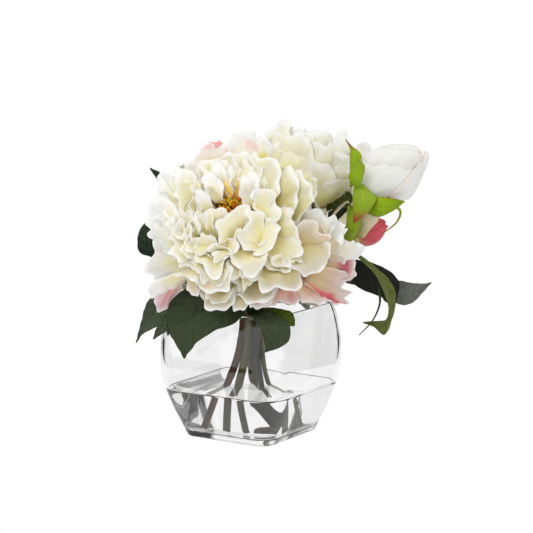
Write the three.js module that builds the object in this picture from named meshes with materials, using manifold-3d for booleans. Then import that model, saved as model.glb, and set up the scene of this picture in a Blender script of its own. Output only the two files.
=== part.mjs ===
// Peonies in a square, swelling glass vase. Millimetres, +Z up.
// Origin: centre of the flat underside of the vase. X and Y run square to the vase's four faces.
// The bouquet leans a little towards the vase's front-left corner side, so its pieces are laid out in
// a "lean frame" of right / up / front directions that is turned about +Z and tipped from the vertical.
import * as THREE from 'three';
import { mergeVertices } from 'three/addons/utils/BufferGeometryUtils.js';
import Module from 'manifold-3d';

const wasm = await Module();
wasm.setup();

// ---------------------------------------------------------------- driving dimensions (mm, degrees)
const LEAN_TURN = 32.62;        // lean frame turned about +Z
const LEAN_TIP = 8.86;          // and tipped back from the vertical
const GAP = 0.35;               // clearance kept between neighbouring pieces
const PETAL_T = 0.9;            // petal thickness
const LEAF_T = 0.8;             // leaf thickness

// vase: height, half width, plan corner radius
const VASE_PROFILE = [
  [0.0, 39.1, 11.1], [10.2, 43.8, 15.2], [20.4, 48.4, 18.4], [30.6, 52.1, 20.3], [40.8, 54.7, 20.5],
  [51.0, 56.0, 20.1], [61.2, 56.4, 19.2], [71.4, 55.9, 17.5], [81.6, 54.4, 15.2], [91.7, 52.0, 11.8], [101.9, 48.2, 7.3],
];
const VASE_SEGMENTS = 32;
const VASE_WALL = 2.8;          // wall thickness, level
const VASE_FLOOR = 5.6;         // thick glass foot
const WATER_LEVEL = 38.2;

// blooms: centre (lean frame), axis (lean frame)
const FRONT = { o: [-3.9, 159.8, 49.0], a: [-0.14, 0.45, 0.88] };
const BACK = { o: [37.3, 202.6, -42.1], a: [0.08, 0.93, -0.35], tall: 1.14 };
// nested inner whorls: rim angle from the bloom axis, shell radius, base radius, lobes, turn
const FRONT_WHORLS = [
  ['front_whorl_1', 72, 68.0, 39.5, 9, 5],
  ['front_whorl_2', 56, 61.0, 37.5, 8, 20],
  ['front_whorl_3', 42, 54.5, 35.5, 7, 50],
  ['front_whorl_4', 27, 47.0, 33.5, 6, 15],
];
const BACK_WHORLS = [
  ['back_whorl_1', 40, 46.5, 29.5, 7, 10],
  ['back_whorl_2', 24, 40.5, 27.5, 6, 30],
];
const WHORL_BASE_ANGLE = 171;
const WHORL_NOTCH = 13;         // degrees the rim falls back between two petals
const WHORL_BULGE = 2.0;
// outer petals: name, azimuth about the bloom axis, rim angle, rim radius, half width, layer step
const FRONT_GUARDS = [
  ['front_petal_a', -8, 63, 79.0, 22.0, 0.0],
  ['front_petal_b', -10, 100, 90.7, 18.0, 2.4],
  ['front_petal_c', -22, 114, 90.7, 14.2, -2.4],
  ['front_petal_d', -38, 112, 94.7, 15.4, 2.4],
  ['front_petal_e', -56, 90, 87.7, 19.0, -2.4],
  ['front_petal_f', -79, 76, 80.0, 23.0, 2.4],
  ['front_petal_g', -103, 79, 78.8, 18.5, -2.4],
  ['front_petal_h', -126, 71, 78.0, 18.5, 2.4],
  ['front_petal_i', -145, 104, 90.2, 15.8, -2.4],
  ['front_petal_j', -162, 85, 79.5, 20.0, 2.4],
  ['front_petal_k', 172, 76, 74.2, 16.4, -2.4],
  ['front_petal_l', 142, 70, 76.0, 20.3, 2.0],
  ['front_petal_m', 110, 74, 68.6, 20.1, 0.0],
  ['front_petal_n', 58, 86, 69.5, 20.7, 2.0],
];
const FRONT_GUARD_BASE = [166, 44.0];
const BACK_GUARDS = [
  ['back_petal_a', -70, 92, 54.0, 19.0, 0.0],
  ['back_petal_b', 0, 88, 56.0, 20.0, 1.6],
  ['back_petal_c', 70, 84, 57.0, 21.0, -1.0],
  ['back_petal_d', 140, 84, 56.0, 21.0, 1.6],
];
const BACK_GUARD_BASE = [164, 33.0];

// buds: base, tip (lean frame), greatest radius
const BUD1 = { base: [83.1, 184.3, 3.2], tip: [136.3, 223.5, 7.9], r: 22.6 };
const BUD2 = { base: [79.8, 153.0, -12.6], tip: [108.3, 165.7, -9.5], r: 11.2 };

// leaves and sepals: name, spine (lean frame), half width, leafless share of the stalk, facing, fold, colour key
const LEAVES = [
  ['leaf_front_left_upper', [[-1, 100.6, 31.6], [-22.2, 98.8, 55], [-42.9, 90.5, 55.6], [-64, 77.7, 46.4]], 13.0, 0.10, [-0.3, 0.6, 0.8], 0.12, 'dark'],
  ['leaf_front_left_lower', [[1, 99.6, 42], [-13.4, 95.9, 67.8], [-32.6, 83, 70], [-51, 60.4, 55.6]], 12.0, 0.22, [-0.2, 0.5, 0.9], 0.12, 'dark'],
  ['leaf_front_tip', [[3.6, 100.2, 49], [7.9, 97.2, 77.4], [14.4, 86.6, 91], [11.4, 66.4, 90]], 10.0, 0.22, [0.1, 0.4, 0.9], 0.1, 'dark'],
  ['leaf_front_light', [[9.4, 101, 44], [16.4, 97, 69.3], [25.4, 92.8, 76], [35.6, 86.5, 70]], 6.5, 0.25, [0.5, 0.7, 0.5], 0.2, 'light'],
  ['leaf_left_low', [[-10, 106, 12], [-36.6, 109, 8], [-62.9, 100, 2], [-80.4, 87, -1], [-91.5, 71.4, -2.6]], 9.5, 0.35, [-0.3, 0.8, 0.5], 0.15, 'dark'],
  ['leaf_left_small', [[-10, 103.0, 21], [-28.5, 103.5, 27], [-52, 96, 35], [-68, 85, 31], [-78, 74.5, 23]], 6.5, 0.35, [-0.3, 0.7, 0.7], 0.15, 'dark'],
  ['leaf_left_behind', [[-8, 112, -8], [-30, 118, -14], [-58, 130, -17], [-80, 147, -19], [-78.9, 174.7, -19]], 11.0, 0.4, [-0.5, 0.3, 0.8], 0.15, 'dark'],
  ['leaf_top_left', [[-14, 132, -16], [-37, 164, -26], [-60, 190, -26], [-81.4, 209.1, -22]], 8.0, 0.3, [0.3, 0.3, 0.9], 0.1, 'dark'],
  ['leaf_right_broad', [[10, 110, 2], [40, 124, -4], [68.2, 133.9, -1], [89.4, 129.9, 3.2], [107.3, 119.7, 6.3], [115.6, 102.3, 0]], 13.0, 0.42, [0.2, 0.6, 0.75], 0.15, 'dark'],
  ['leaf_right_under', [[60, 122, -12], [90, 120, -15], [116.5, 111.6, -15], [130, 110.8, -14], [142.6, 117.2, -12]], 8.5, 0.3, [-0.1, -0.55, 0.8], 0.1, 'grey'],
  ['leaf_right_narrow', [[62, 122, 12], [86, 127, 19], [102, 111, 23], [109, 93, 19], [103.8, 76.7, 15]], 5.5, 0.2, [-0.5, 0.1, 0.85], 0.1, 'olive'],
  ['leaf_curl', [[52, 160, -2], [60, 172, 2], [70, 181, 4], [77.5, 187, 3]], 6.0, 0.2, [-0.6, 0.5, 0.5], 0.2, 'olive'],
  ['leaf_back_right', [[8, 112, -18], [22, 121, -50], [36, 113, -85], [48, 94, -105]], 14.0, 0.2, [0.1, 0.9, -0.4], 0.12, 'dark'],
  ['leaf_back_left', [[-12, 112, -15], [-35, 121, -42], [-55, 114, -65], [-72, 99, -78]], 13.0, 0.2, [-0.3, 0.9, -0.3], 0.12, 'dark'],
  ['leaf_back_middle', [[-2, 115, -18], [-9, 127, -55], [-14, 121, -92], [-20, 102, -115]], 13.0, 0.2, [0, 0.9, -0.5], 0.12, 'dark'],
  ['bud1_sepal_a', [[79.5, 181.5, 9], [76.5, 199.8, 14], [78.9, 215, 13], [74.3, 230.7, 8]], 6.5, 0.0, [-0.1, 0.2, 1], 0.25, 'sepal'],
  ['bud1_sepal_b', [[81.5, 178.5, 12], [88, 186, 28], [86.5, 178, 31], [79.1, 168.9, 29]], 7.5, 0.0, [-0.2, 0.2, 1], 0.2, 'sepal'],
  ['bud1_sepal_c', [[85.5, 177.0, 8], [99, 174.5, 25.5], [110.5, 177, 28], [120.6, 186.1, 22]], 7.5, 0.0, [0.4, -0.5, 0.75], 0.2, 'sepal'],
  ['bud1_sepal_d', [[82, 184, 15], [82.3, 193, 28], [86.5, 202.5, 33], [89, 213.5, 31]], 6.5, 0.0, [-0.3, 0.1, 0.95], 0.2, 'sepal'],
  ['bud2_sepal_a', [[77, 150.4, -4], [71, 157.8, 4], [74, 167, 7.6], [79, 173.5, 8]], 5.0, 0.0, [-0.3, 0.1, 0.95], 0.2, 'sepal'],
];

// stems: name, radius, colour key, path: lean points from the head down, then level points in the vase
// (right, front, height) where right and front are the lean frame's level directions
const STEMS = [
  ['stem_front_bloom', 3.0, 'stem', 'front', [], [[-1.5, 2.4, 112], [-3.4, 3.4, 96], [-4.4, 3.6, 80], [-9.5, 6, 38], [-14, 8, 8.2]]],
  ['stem_back_bloom', 3.0, 'stem', 'back', [[27, 138, -19]], [[5.2, -7.2, 114], [3.4, -4.6, 98], [3.6, -4.8, 80], [5.4, -10, 38], [7, -16, 8.2]]],
  ['stem_large_bud', 2.5, 'stem_dark', null, [[77.2, 179.2, 2.4], [66, 168, 1], [42, 143, -1], [20, 124, 0]], [[5.8, 2.2, 104], [4.4, 2.8, 90], [4.6, 2.8, 78], [9.2, 8, 38], [15, 13, 8.2]]],
  ['stem_small_bud', 2.3, 'stem', null, [[75.4, 149.6, -14.6], [60, 137, -17], [34, 122, -12]], [[13.4, -1.4, 104], [10.6, -1.2, 92], [11, -1.4, 78], [17, -2, 40], [31, -4, 8.2]]],
  ['stem_leaf_left', 2.3, 'stem_brown', null, [], [[-13.2, 2.2, 103.4], [-10.6, 0, 92], [-11, 0, 78], [-22, 2, 40], [-33, 3, 8.6]]],
];

// ---------------------------------------------------------------- colours
const COLOURS = {
  glass: [0.90, 0.93, 0.93, 0.06, 0.0], water: [0.92, 0.94, 0.93, 0.05, 0.0],
  cream: [0.93, 0.91, 0.83, 0.6, 0.0], blush: [0.90, 0.76, 0.74, 0.6, 0.0], white: [0.95, 0.94, 0.91, 0.6, 0.0],
  core: [0.86, 0.83, 0.55, 0.6, 0.0], stamen: [0.86, 0.62, 0.08, 0.6, 0.0], carpel: [0.45, 0.5, 0.12, 0.5, 0.0],
  dark: [0.06, 0.09, 0.05, 0.45, 0.0], light: [0.12, 0.17, 0.03, 0.45, 0.0], olive: [0.14, 0.17, 0.05, 0.45, 0.0],
  grey: [0.22, 0.24, 0.20, 0.5, 0.0], sepal: [0.36, 0.50, 0.04, 0.5, 0.0], stem: [0.22, 0.26, 0.16, 0.55, 0.0],
  stem_dark: [0.05, 0.07, 0.03, 0.5, 0.0], stem_brown: [0.25, 0.19, 0.11, 0.6, 0.0], calyx: [0.30, 0.40, 0.08, 0.5, 0.0],
};

// ---------------------------------------------------------------- frames
const D2R = Math.PI / 180;
const ct = Math.cos(LEAN_TURN * D2R), st = Math.sin(LEAN_TURN * D2R);
const cp = Math.cos(LEAN_TIP * D2R), sp = Math.sin(LEAN_TIP * D2R);
const RIGHT = new THREE.Vector3(ct, st, 0);
const UP = new THREE.Vector3(-st * sp, ct * sp, cp);
const TOWARD = new THREE.Vector3(st * cp, -ct * cp, sp);
const LEVEL_FRONT = new THREE.Vector3(st, -ct, 0);

const lean = ([a, b, c]) => new THREE.Vector3().addScaledVector(RIGHT, a).addScaledVector(UP, b).addScaledVector(TOWARD, c);
const level = ([s, t, z]) => new THREE.Vector3(0, 0, z).addScaledVector(RIGHT, s).addScaledVector(LEVEL_FRONT, t);

// a bloom's own polar frame: axis A, and U, V square to it
function bloomFrame({ o, a, tall = 1 }) {
  const O = lean(o);
  const A = lean(a).normalize();
  const U = RIGHT.clone().addScaledVector(A, -RIGHT.dot(A)).normalize();
  const V = new THREE.Vector3().crossVectors(A, U);
  return { O, A, U, V, flat: o === FRONT.o, tall };
}
// direction at polar angle th from the axis and azimuth ph
function dir(f, th, ph) {
  const s = Math.sin(th * D2R), c = Math.cos(th * D2R), p = ph * D2R;
  return new THREE.Vector3().addScaledVector(f.A, c).addScaledVector(f.U, s * Math.cos(p)).addScaledVector(f.V, s * Math.sin(p));
}
// how far the underside of the front bloom is flattened where it lies over the vase rim (0 at its top)
const lowness = (f, ph) => (f.flat ? Math.max(0, -Math.sin(ph * D2R)) ** 0.7 : 0);
const topness = (f, ph) => (f.flat ? 1 - 0.075 * Math.max(0, Math.sin(ph * D2R)) : 1);
const mix = (a, b, k) => a + (b - a) * k;
// a bloom may be drawn out along its axis above its middle
const drawn = (f, d) => (d.dot(f.A) > 0 && f.tall > 1 ? d.addScaledVector(f.A, (f.tall - 1) * d.dot(f.A)) : d);
const smooth = (x) => { const t = Math.min(Math.max(x, 0), 1); return t * t * (3 - 2 * t); };

// ---------------------------------------------------------------- solids
// weld a geometry into a closed solid with its faces outward
function solid(geometry) {
  let g = geometry.clone();
  for (const k of Object.keys(g.attributes)) if (k !== 'position') g.deleteAttribute(k);
  g = mergeVertices(g, 1e-3);
  const pos = g.attributes.position, ix = Array.from(g.index.array);
  const tri = [];
  for (let i = 0; i < ix.length; i += 3) {
    const [a, b, c] = [ix[i], ix[i + 1], ix[i + 2]];
    if (a !== b && b !== c && c !== a) tri.push(a, b, c);
  }
  let vol = 0;
  const p = [new THREE.Vector3(), new THREE.Vector3(), new THREE.Vector3()];
  for (let i = 0; i < tri.length; i += 3) {
    for (let k = 0; k < 3; k++) p[k].fromBufferAttribute(pos, tri[i + k]);
    vol += p[0].dot(p[1].clone().cross(p[2]));
  }
  if (vol < 0) for (let i = 0; i < tri.length; i += 3) [tri[i], tri[i + 1]] = [tri[i + 1], tri[i]];
  return new wasm.Manifold(new wasm.Mesh({ numProp: 3, vertProperties: new Float32Array(pos.array), triVerts: new Uint32Array(tri) }));
}
function geometryOf(m) {
  const mesh = m.getMesh();
  const g = new THREE.BufferGeometry();
  g.setAttribute('position', new THREE.BufferAttribute(new Float32Array(mesh.vertProperties), 3));
  g.setIndex(new THREE.BufferAttribute(new Uint32Array(mesh.triVerts), 1));
  return g;
}
// the largest single body of a solid, welded again so that it stays one body in 32-bit numbers
function mainBody(m) {
  for (let round = 0; round < 4; round++) {
    const parts = m.decompose();
    if (parts.length > 1) m = parts.reduce((best, x) => (x.volume() > best.volume() ? x : best));
    m = solid(geometryOf(m));
    if (m.decompose().length === 1) break;
  }
  return m;
}

// a thin sheet: surface(u, t) with u in -1..1 across and t in 0..1 along, of the given thickness
function sheet(surface, nu, nt, thick) {
  const g = new THREE.BoxGeometry(2, 1, 1, nu, nt, 1);
  const pos = g.attributes.position;
  const e = 1e-3;
  for (let i = 0; i < pos.count; i++) {
    const u = pos.getX(i), t = pos.getY(i) + 0.5, s = pos.getZ(i);
    const p = surface(u, t);
    const du = surface(Math.min(u + e, 1), t).sub(surface(Math.max(u - e, -1), t));
    const dt = surface(u, Math.min(t + e, 1)).sub(surface(u, Math.max(t - e, 0)));
    const n = du.cross(dt).normalize();
    p.addScaledVector(n, s * thick);
    pos.setXYZ(i, p.x, p.y, p.z);
  }
  return g;
}

// an outer petal standing from the receptacle to its rim around a bloom's centre
function petal(f, ph, th1, r1, hw, [th0, r0], stretch = 1, nu = 4, nt = 6, thick = PETAL_T, grow = 0) {
  return sheet((u, t) => {
    const tt = t * (1 - 0.10 * u * u);
    const th = th0 + (th1 - th0) * tt;
    const r = r0 + (r1 - r0) * mix(smooth(tt / 0.85), tt ** 1.9, lowness(f, ph)) + 1.5 * u * u * tt;
    const w = (hw + grow) * (0.22 + 0.78 * Math.sin(Math.min(tt / 0.75, 1) * Math.PI / 2)) * (tt > 0.75 ? 1 - 0.45 * ((tt - 0.75) / 0.25) ** 2 : 1);
    const c = dir(f, th, ph);
    const side = dir(f, 90, ph + 90);
    const al = u * w / Math.max(r, 1);
    const d = c.multiplyScalar(Math.cos(al)).addScaledVector(side, Math.sin(al));
    d.addScaledVector(f.A, (stretch - 1) * d.dot(f.A));
    return f.O.clone().addScaledVector(d, r);
  }, nu, nt, thick);
}

// a whorl: one ring-shaped sheet cut into rounded petals at its rim
function whorl(f, thRim, r1, r0, lobes, turn) {
  const m = 4, per = 4, seg = lobes * per;
  const npts = 2 * (m + 1) + 1;
  const pts = [];
  for (let j = 0; j < npts; j++) pts.push(new THREE.Vector2(1 + j, j));
  const g = new THREE.LatheGeometry(pts, seg);
  const pos = g.attributes.position;
  const surface = (ph, t) => {
    const fl = ((((ph - turn) / 360) * lobes) % 1 + 1) % 1;
    const x = 2 * fl - 1;
    const rim = thRim + WHORL_NOTCH * x ** 4;
    const th = WHORL_BASE_ANGLE + (rim - WHORL_BASE_ANGLE) * t;
    const k = (WHORL_BASE_ANGLE - th) / (WHORL_BASE_ANGLE - thRim);
    const r = r0 + (r1 * topness(f, ph) - r0) * mix(smooth((WHORL_BASE_ANGLE - th) / 78), Math.min(k, 1) ** 1.9, lowness(f, ph)) + WHORL_BULGE * (1 - x * x) * t;
    return f.O.clone().addScaledVector(drawn(f, dir(f, th, ph)), r);
  };
  for (let i = 0; i <= seg; i++) {
    const ph = turn + 360 * (i % seg) / seg;
    for (let j = 0; j < npts; j++) {
      const k = j % (2 * (m + 1));
      const outer = k <= m;
      const t = outer ? k / m : (2 * m + 1 - k) / m;
      const p = surface(ph, t);
      const e = 0.5;
      const dp = surface(ph + e, t).sub(surface(ph - e, t));
      const dt = surface(ph, Math.min(t + 0.01, 1)).sub(surface(ph, Math.max(t - 0.01, 0)));
      const n = dp.cross(dt).normalize();
      if (n.dot(p.clone().sub(f.O)) < 0) n.negate();
      p.addScaledVector(n, (outer ? 0.5 : -0.5) * PETAL_T);
      pos.setXYZ(i * npts + j, p.x, p.y, p.z);
    }
  }
  return g;
}

// a leaf or sepal along a spine, folded a little along its midrib
function leaf(spine, hw, stalk, facing, fold, nt, thick, grow = 0) {
  const curve = new THREE.CatmullRomCurve3(spine.map(lean), false, 'centripetal');
  const N = lean(facing).normalize();
  return sheet((u, t) => {
    const p = curve.getPoint(t);
    const T = curve.getTangent(t);
    const E = new THREE.Vector3().crossVectors(T, N).normalize();
    const n = new THREE.Vector3().crossVectors(E, T).normalize();
    const x = Math.max((t - stalk) / (1 - stalk), 0);
    let w = hw * Math.pow(Math.sin(Math.PI * Math.pow(x, 0.8)), 0.85);
    w = Math.max(w || 0, 0.7) + grow;
    return p.addScaledVector(E, u * w).addScaledVector(n, fold * Math.abs(u) * w);
  }, 2, nt, thick);
}

// a round tube along a curve
function tube(points, r, steps, sides = 8) {
  const shape = new THREE.Shape();
  for (let i = 0; i < sides; i++) {
    const a = 2 * Math.PI * i / sides;
    if (i) shape.lineTo(r * Math.cos(a), r * Math.sin(a)); else shape.moveTo(r * Math.cos(a), r * Math.sin(a));
  }
  shape.closePath();
  return new THREE.ExtrudeGeometry(shape, { steps, bevelEnabled: false, extrudePath: new THREE.CatmullRomCurve3(points, false, 'centripetal') });
}

// a turned body about a bloom's axis: profile of [radius, height along the axis]
function turned(f, profile, seg) {
  const g = new THREE.LatheGeometry(profile.map(([r, h]) => new THREE.Vector2(r, h)), seg);
  const m = new THREE.Matrix4().makeBasis(f.U, f.A, new THREE.Vector3().crossVectors(f.U, f.A));
  m.setPosition(f.O);
  g.applyMatrix4(m);
  return g;
}

// square vase outline: distance from the axis at direction ang, for half width w and corner radius r
function outline(ang, w, r) {
  const c = Math.abs(Math.cos(ang)), s = Math.abs(Math.sin(ang));
  const t = w / Math.max(c, s);
  if (t * Math.min(c, s) <= w - r) return t;
  const k = w - r, b = k * (c + s), q = 2 * k * k - r * r;
  return b + Math.sqrt(Math.max(b * b - q, 0));
}
function vaseAt(z) {
  let i = 1;
  while (i < VASE_PROFILE.length - 1 && VASE_PROFILE[i][0] < z) i++;
  const [z0, w0, r0] = VASE_PROFILE[i - 1], [z1, w1, r1] = VASE_PROFILE[i];
  const k = Math.min(Math.max((z - z0) / (z1 - z0), 0), 1);
  return [w0 + (w1 - w0) * k, r0 + (r1 - r0) * k];
}
// profile points: [height, inset from the outer face, share of the outline (0 = on the axis)]
function vaseBody(profile) {
  const g = new THREE.LatheGeometry(profile.map((p, j) => new THREE.Vector2(p[2] ? 10 + j : 0, j)), VASE_SEGMENTS);
  const pos = g.attributes.position, n = profile.length;
  for (let i = 0; i <= VASE_SEGMENTS; i++) {
    const ang = 2 * Math.PI * ((i % VASE_SEGMENTS) + 0.5) / VASE_SEGMENTS;
    for (let j = 0; j < n; j++) {
      const [z, inset, share] = profile[j];
      const [w, r] = vaseAt(z);
      const d = share ? share * outline(ang, w - inset, Math.max(r - inset, 3)) : 0;
      pos.setXYZ(i * n + j, d * Math.cos(ang), d * Math.sin(ang), z);
    }
  }
  return g;
}

// ---------------------------------------------------------------- assemble
const root = new THREE.Group();
const placed = [];              // {solid, box} of every finished piece
function boxOf(m) { const b = m.boundingBox(); return new THREE.Box3(new THREE.Vector3(...b.min), new THREE.Vector3(...b.max)); }

function add(name, colour, body, clear) {
  body = mainBody(body);
  const g = geometryOf(body);
  g.computeVertexNormals();
  const [r, gr, b, rough, metal] = COLOURS[colour];
  const node = new THREE.Mesh(g, new THREE.MeshStandardMaterial({ color: new THREE.Color().setRGB(r, gr, b), roughness: rough, metalness: metal }));
  node.name = name;
  root.add(node);
  placed.push({ name, solid: clear || body, box: boxOf(clear || body) });
}
// cut a body back from everything already placed whose box it reaches, keeping the gap
function trimmed(body, skip = []) {
  const bb = boxOf(body);
  for (const q of placed) {
    if (skip.includes(q.name) || !q.box.intersectsBox(bb)) continue;
    body = body.subtract(q.solid);
  }
  return body;
}

// vase
const wallAt = (z) => VASE_WALL + 1.6 * Math.max(0, 1 - z / 26);
const outerP = [[0, 0, 0], [0, 1.2, 0.93], [0.9, 0.3, 1]];
for (const [z] of VASE_PROFILE.slice(1, -1)) outerP.push([z, 0, 1]);
outerP.push([101.1, 0, 1], [101.9, 0.8, 1], [101.9, 2.0, 1], [101.1, 2.8, 1]);
for (const z of [91.7, 76, 61.2, 50, 40.8, 30.6, 20.4, 10.2]) outerP.push([z, wallAt(z), 1]);
outerP.push([VASE_FLOOR + 1.2, 5.2, 1], [VASE_FLOOR, 7.5, 1], [VASE_FLOOR, 0, 0]);
add('vase', 'glass', solid(vaseBody(outerP)));

// stems
const fFront = bloomFrame(FRONT), fBack = bloomFrame(BACK);
const stemPath = (head, leanPts, levelPts) => {
  const pts = [];
  if (head === 'front') pts.push(fFront.O.clone().addScaledVector(fFront.A, -52.6), fFront.O.clone().addScaledVector(fFront.A, -60));
  if (head === 'back') pts.push(fBack.O.clone().addScaledVector(fBack.A, -41.6), fBack.O.clone().addScaledVector(fBack.A, -50));
  return pts.concat(leanPts.map(lean), levelPts.map(level));
};
// a bloom's stem swells into its receptacle: a green cup under the petals and a peg up through them
const HEADS = {
  front: [fFront, [[0, -56], [2.9, -55], [3.6, -52.2], [8.5, -50.2], [11.5, -46.6], [11.0, -45.4], [4.0, -46.2], [3.6, -20], [3.6, 4], [0, 5]]],
  back: [fBack, [[0, -45], [2.9, -44], [3.4, -41.2], [7.5, -39.2], [9.6, -36.2], [9.2, -35.2], [3.6, -36.0], [3.2, -20], [0, -12]]],
};
for (const [name, r, colour, head, lp, vp] of STEMS) {
  const path = stemPath(head, lp, vp);
  const steps = Math.min(8 + 2 * path.length, 22);
  let body = solid(tube(path, r, steps)), clear = solid(tube(path, r + GAP, steps));
  if (head) {
    const [f, prof] = HEADS[head];
    body = body.add(solid(turned(f, prof, 12)));
    clear = clear.add(solid(turned(f, prof.map(([q, h], i) => [q ? q + GAP : 0, h + (i < 5 ? -GAP : GAP)]), 12)));
  }
  add(name, colour, trimmed(body), clear);
}

// water, hugging the glass and the stems with a hair's gap
{
  const P = [[VASE_FLOOR + GAP, 0, 0], [VASE_FLOOR + GAP, 7.9, 1], [VASE_FLOOR + 1.6, 5.7, 1]];
  for (const z of [10.2, 20.4, 30.6, WATER_LEVEL]) P.push([z, wallAt(z) + GAP + (z < 30 ? 0.15 : 0), 1]);
  P.push([WATER_LEVEL, 0, 0]);
  const body = solid(vaseBody(P));
  let w = body;
  for (const q of placed) if (q.name !== 'vase') w = w.subtract(q.solid);
  add('water', 'water', w);
}

// inner whorls
for (const [name, th, r1, r0, n, turn] of FRONT_WHORLS) add(name, 'cream', trimmed(solid(whorl(fFront, th, r1, r0, n, turn))));
for (const [name, th, r1, r0, n, turn] of BACK_WHORLS) add(name, 'white', trimmed(solid(whorl(fBack, th, r1, r0, n, turn))));

// stamens: a tuft of filaments on a small disc, and the carpels among them
{
  let tuft = solid(turned(fFront, [[0, 5.4], [6.5, 5.4], [6.5, 7.4], [0, 7.4]], 12));
  for (let i = 0; i < 11; i++) {
    const a = i * 137.5, rr = 2.6 + 3.0 * (i % 5) / 4;
    const base = fFront.O.clone().addScaledVector(fFront.A, 6.4).addScaledVector(dir(fFront, 90, a), rr);
    const tip = fFront.O.clone().addScaledVector(fFront.A, 26 + 3 * (i % 3)).addScaledVector(dir(fFront, 90, a), rr * 1.9);
    tuft = tuft.add(solid(tube([base, base.clone().lerp(tip, 0.5), tip], 0.8, 2, 5)));
  }
  add('front_stamens', 'stamen', trimmed(tuft));
}
{
  const f = { ...fBack, O: fBack.O };
  add('back_core', 'core', trimmed(solid(turned(f, [[0, -10.5], [5, -9], [14, 2], [18, 14], [15, 24], [6, 30], [0, 31]], 12))));
}

// outer petals
const laid = (list, f, base) => {
  for (const [name, ph, th, r, hw, off] of list) {
    const b = [base[0], base[1] + off * 0.55];
    const body = trimmed(solid(petal(f, ph, th, r + off * 0.9, hw, b)));
    add(name, name.endsWith('_c') || name.endsWith('_d') || name.endsWith('_i') ? 'blush' : 'white', body,
      solid(petal(f, ph, th, r + off * 0.9, hw, b, 1, 4, 6, PETAL_T + 2 * GAP, GAP)));
  }
};
laid(FRONT_GUARDS, fFront, FRONT_GUARD_BASE);
laid(BACK_GUARDS, fBack, BACK_GUARD_BASE);

// buds: a closed heart with loosely wrapped petals round it
function budFrame({ base, tip }) {
  const B = lean(base), T = lean(tip), A = T.clone().sub(B).normalize();
  const O = B.clone().lerp(T, 0.44);
  const U = TOWARD.clone().addScaledVector(A, -TOWARD.dot(A)).normalize();
  return { O, A, U, V: new THREE.Vector3().crossVectors(A, U), len: B.distanceTo(T) };
}
{
  const f = budFrame(BUD1), h = f.len;
  const R = BUD1.r - 2.2;
  add('bud1_heart', 'white', solid(turned(f, [[0, -0.43 * h], [0.42 * R, -0.40 * h], [0.82 * R, -0.24 * h], [R, -0.02 * h], [0.94 * R, 0.18 * h], [0.62 * R, 0.38 * h], [0.22 * R, 0.47 * h], [0, 0.48 * h]], 14)),
    solid(turned(f, [[0, -0.43 * h - GAP], [0.44 * R, -0.41 * h], [0.82 * R + 0.5, -0.24 * h], [R + 0.5, -0.02 * h], [0.94 * R + 0.5, 0.18 * h], [0.62 * R + 0.5, 0.38 * h], [0.24 * R + 0.5, 0.475 * h], [0, 0.49 * h]], 14)));
  const k = h * 0.5 / BUD1.r;
  for (const [nm, ph, th, off] of [['a', -20, 14, 0], ['b', 100, 20, 0.6], ['c', 220, 24, 0.3]]) {
    const body = trimmed(solid(petal(f, ph, th, BUD1.r + off, 24, [150, BUD1.r - 1.0], k, 6, 7)));
    add('bud1_petal_' + nm, 'white', body, solid(petal(f, ph, th, BUD1.r + off, 24, [150, BUD1.r - 1.0], k, 6, 7, PETAL_T + 2 * GAP, GAP)));
  }
  const g = budFrame(BUD2), hb = g.len, Rb = BUD2.r - 1.6;
  add('bud2_heart', 'cream', trimmed(solid(turned(g, [[0, -0.43 * hb], [0.5 * Rb, -0.38 * hb], [Rb, -0.05 * hb], [0.85 * Rb, 0.25 * hb], [0.3 * Rb, 0.46 * hb], [0, 0.48 * hb]], 12))));
  const kb = hb * 0.5 / BUD2.r;
  for (const [nm, ph, th] of [['a', 60, 20]]) {
    add('bud2_petal_' + nm, nm === 'a' ? 'cream' : 'blush', trimmed(solid(petal(g, ph, th, BUD2.r + 0.2, 11, [146, BUD2.r - 0.4], kb, 4, 6))),
      solid(petal(g, ph, th, BUD2.r + 0.2, 11, [146, BUD2.r - 0.4], kb, 4, 6, PETAL_T + 2 * GAP, GAP)));
  }
}

// leaves and sepals; two of them carry a thin curled tail that grew with them
const TAILS = {
  leaf_right_narrow: [[[99, 114.6, 21.6], [100.4, 102, 17], [95, 88, 12], [84.5, 76.4, 8]], 1.3],
  bud1_sepal_c: [[[110, 178.5, 28], [115.8, 173.5, 25.5], [113.6, 165.4, 21.5], [102.9, 156.3, 17]], 1.3],
};
for (const [name, spine, hw, stalk, facing, fold, colour] of LEAVES) {
  const nt = spine.length > 4 ? 12 : 9;
  let body = solid(leaf(spine, hw, stalk, facing, fold, nt, LEAF_T));
  if (TAILS[name]) body = body.add(solid(tube(TAILS[name][0].map(lean), TAILS[name][1], 8, 6)));
  body = trimmed(body);
  add(name, colour, body, solid(leaf(spine, hw, stalk, facing, fold, nt, LEAF_T + 2 * GAP, GAP)));
}

export default root;
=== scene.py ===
"""Looks of the peony bouquet in its glass vase: fine surfaces, materials, light and camera."""

import math

import bpy
import numpy as np
from mathutils import Matrix


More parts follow.
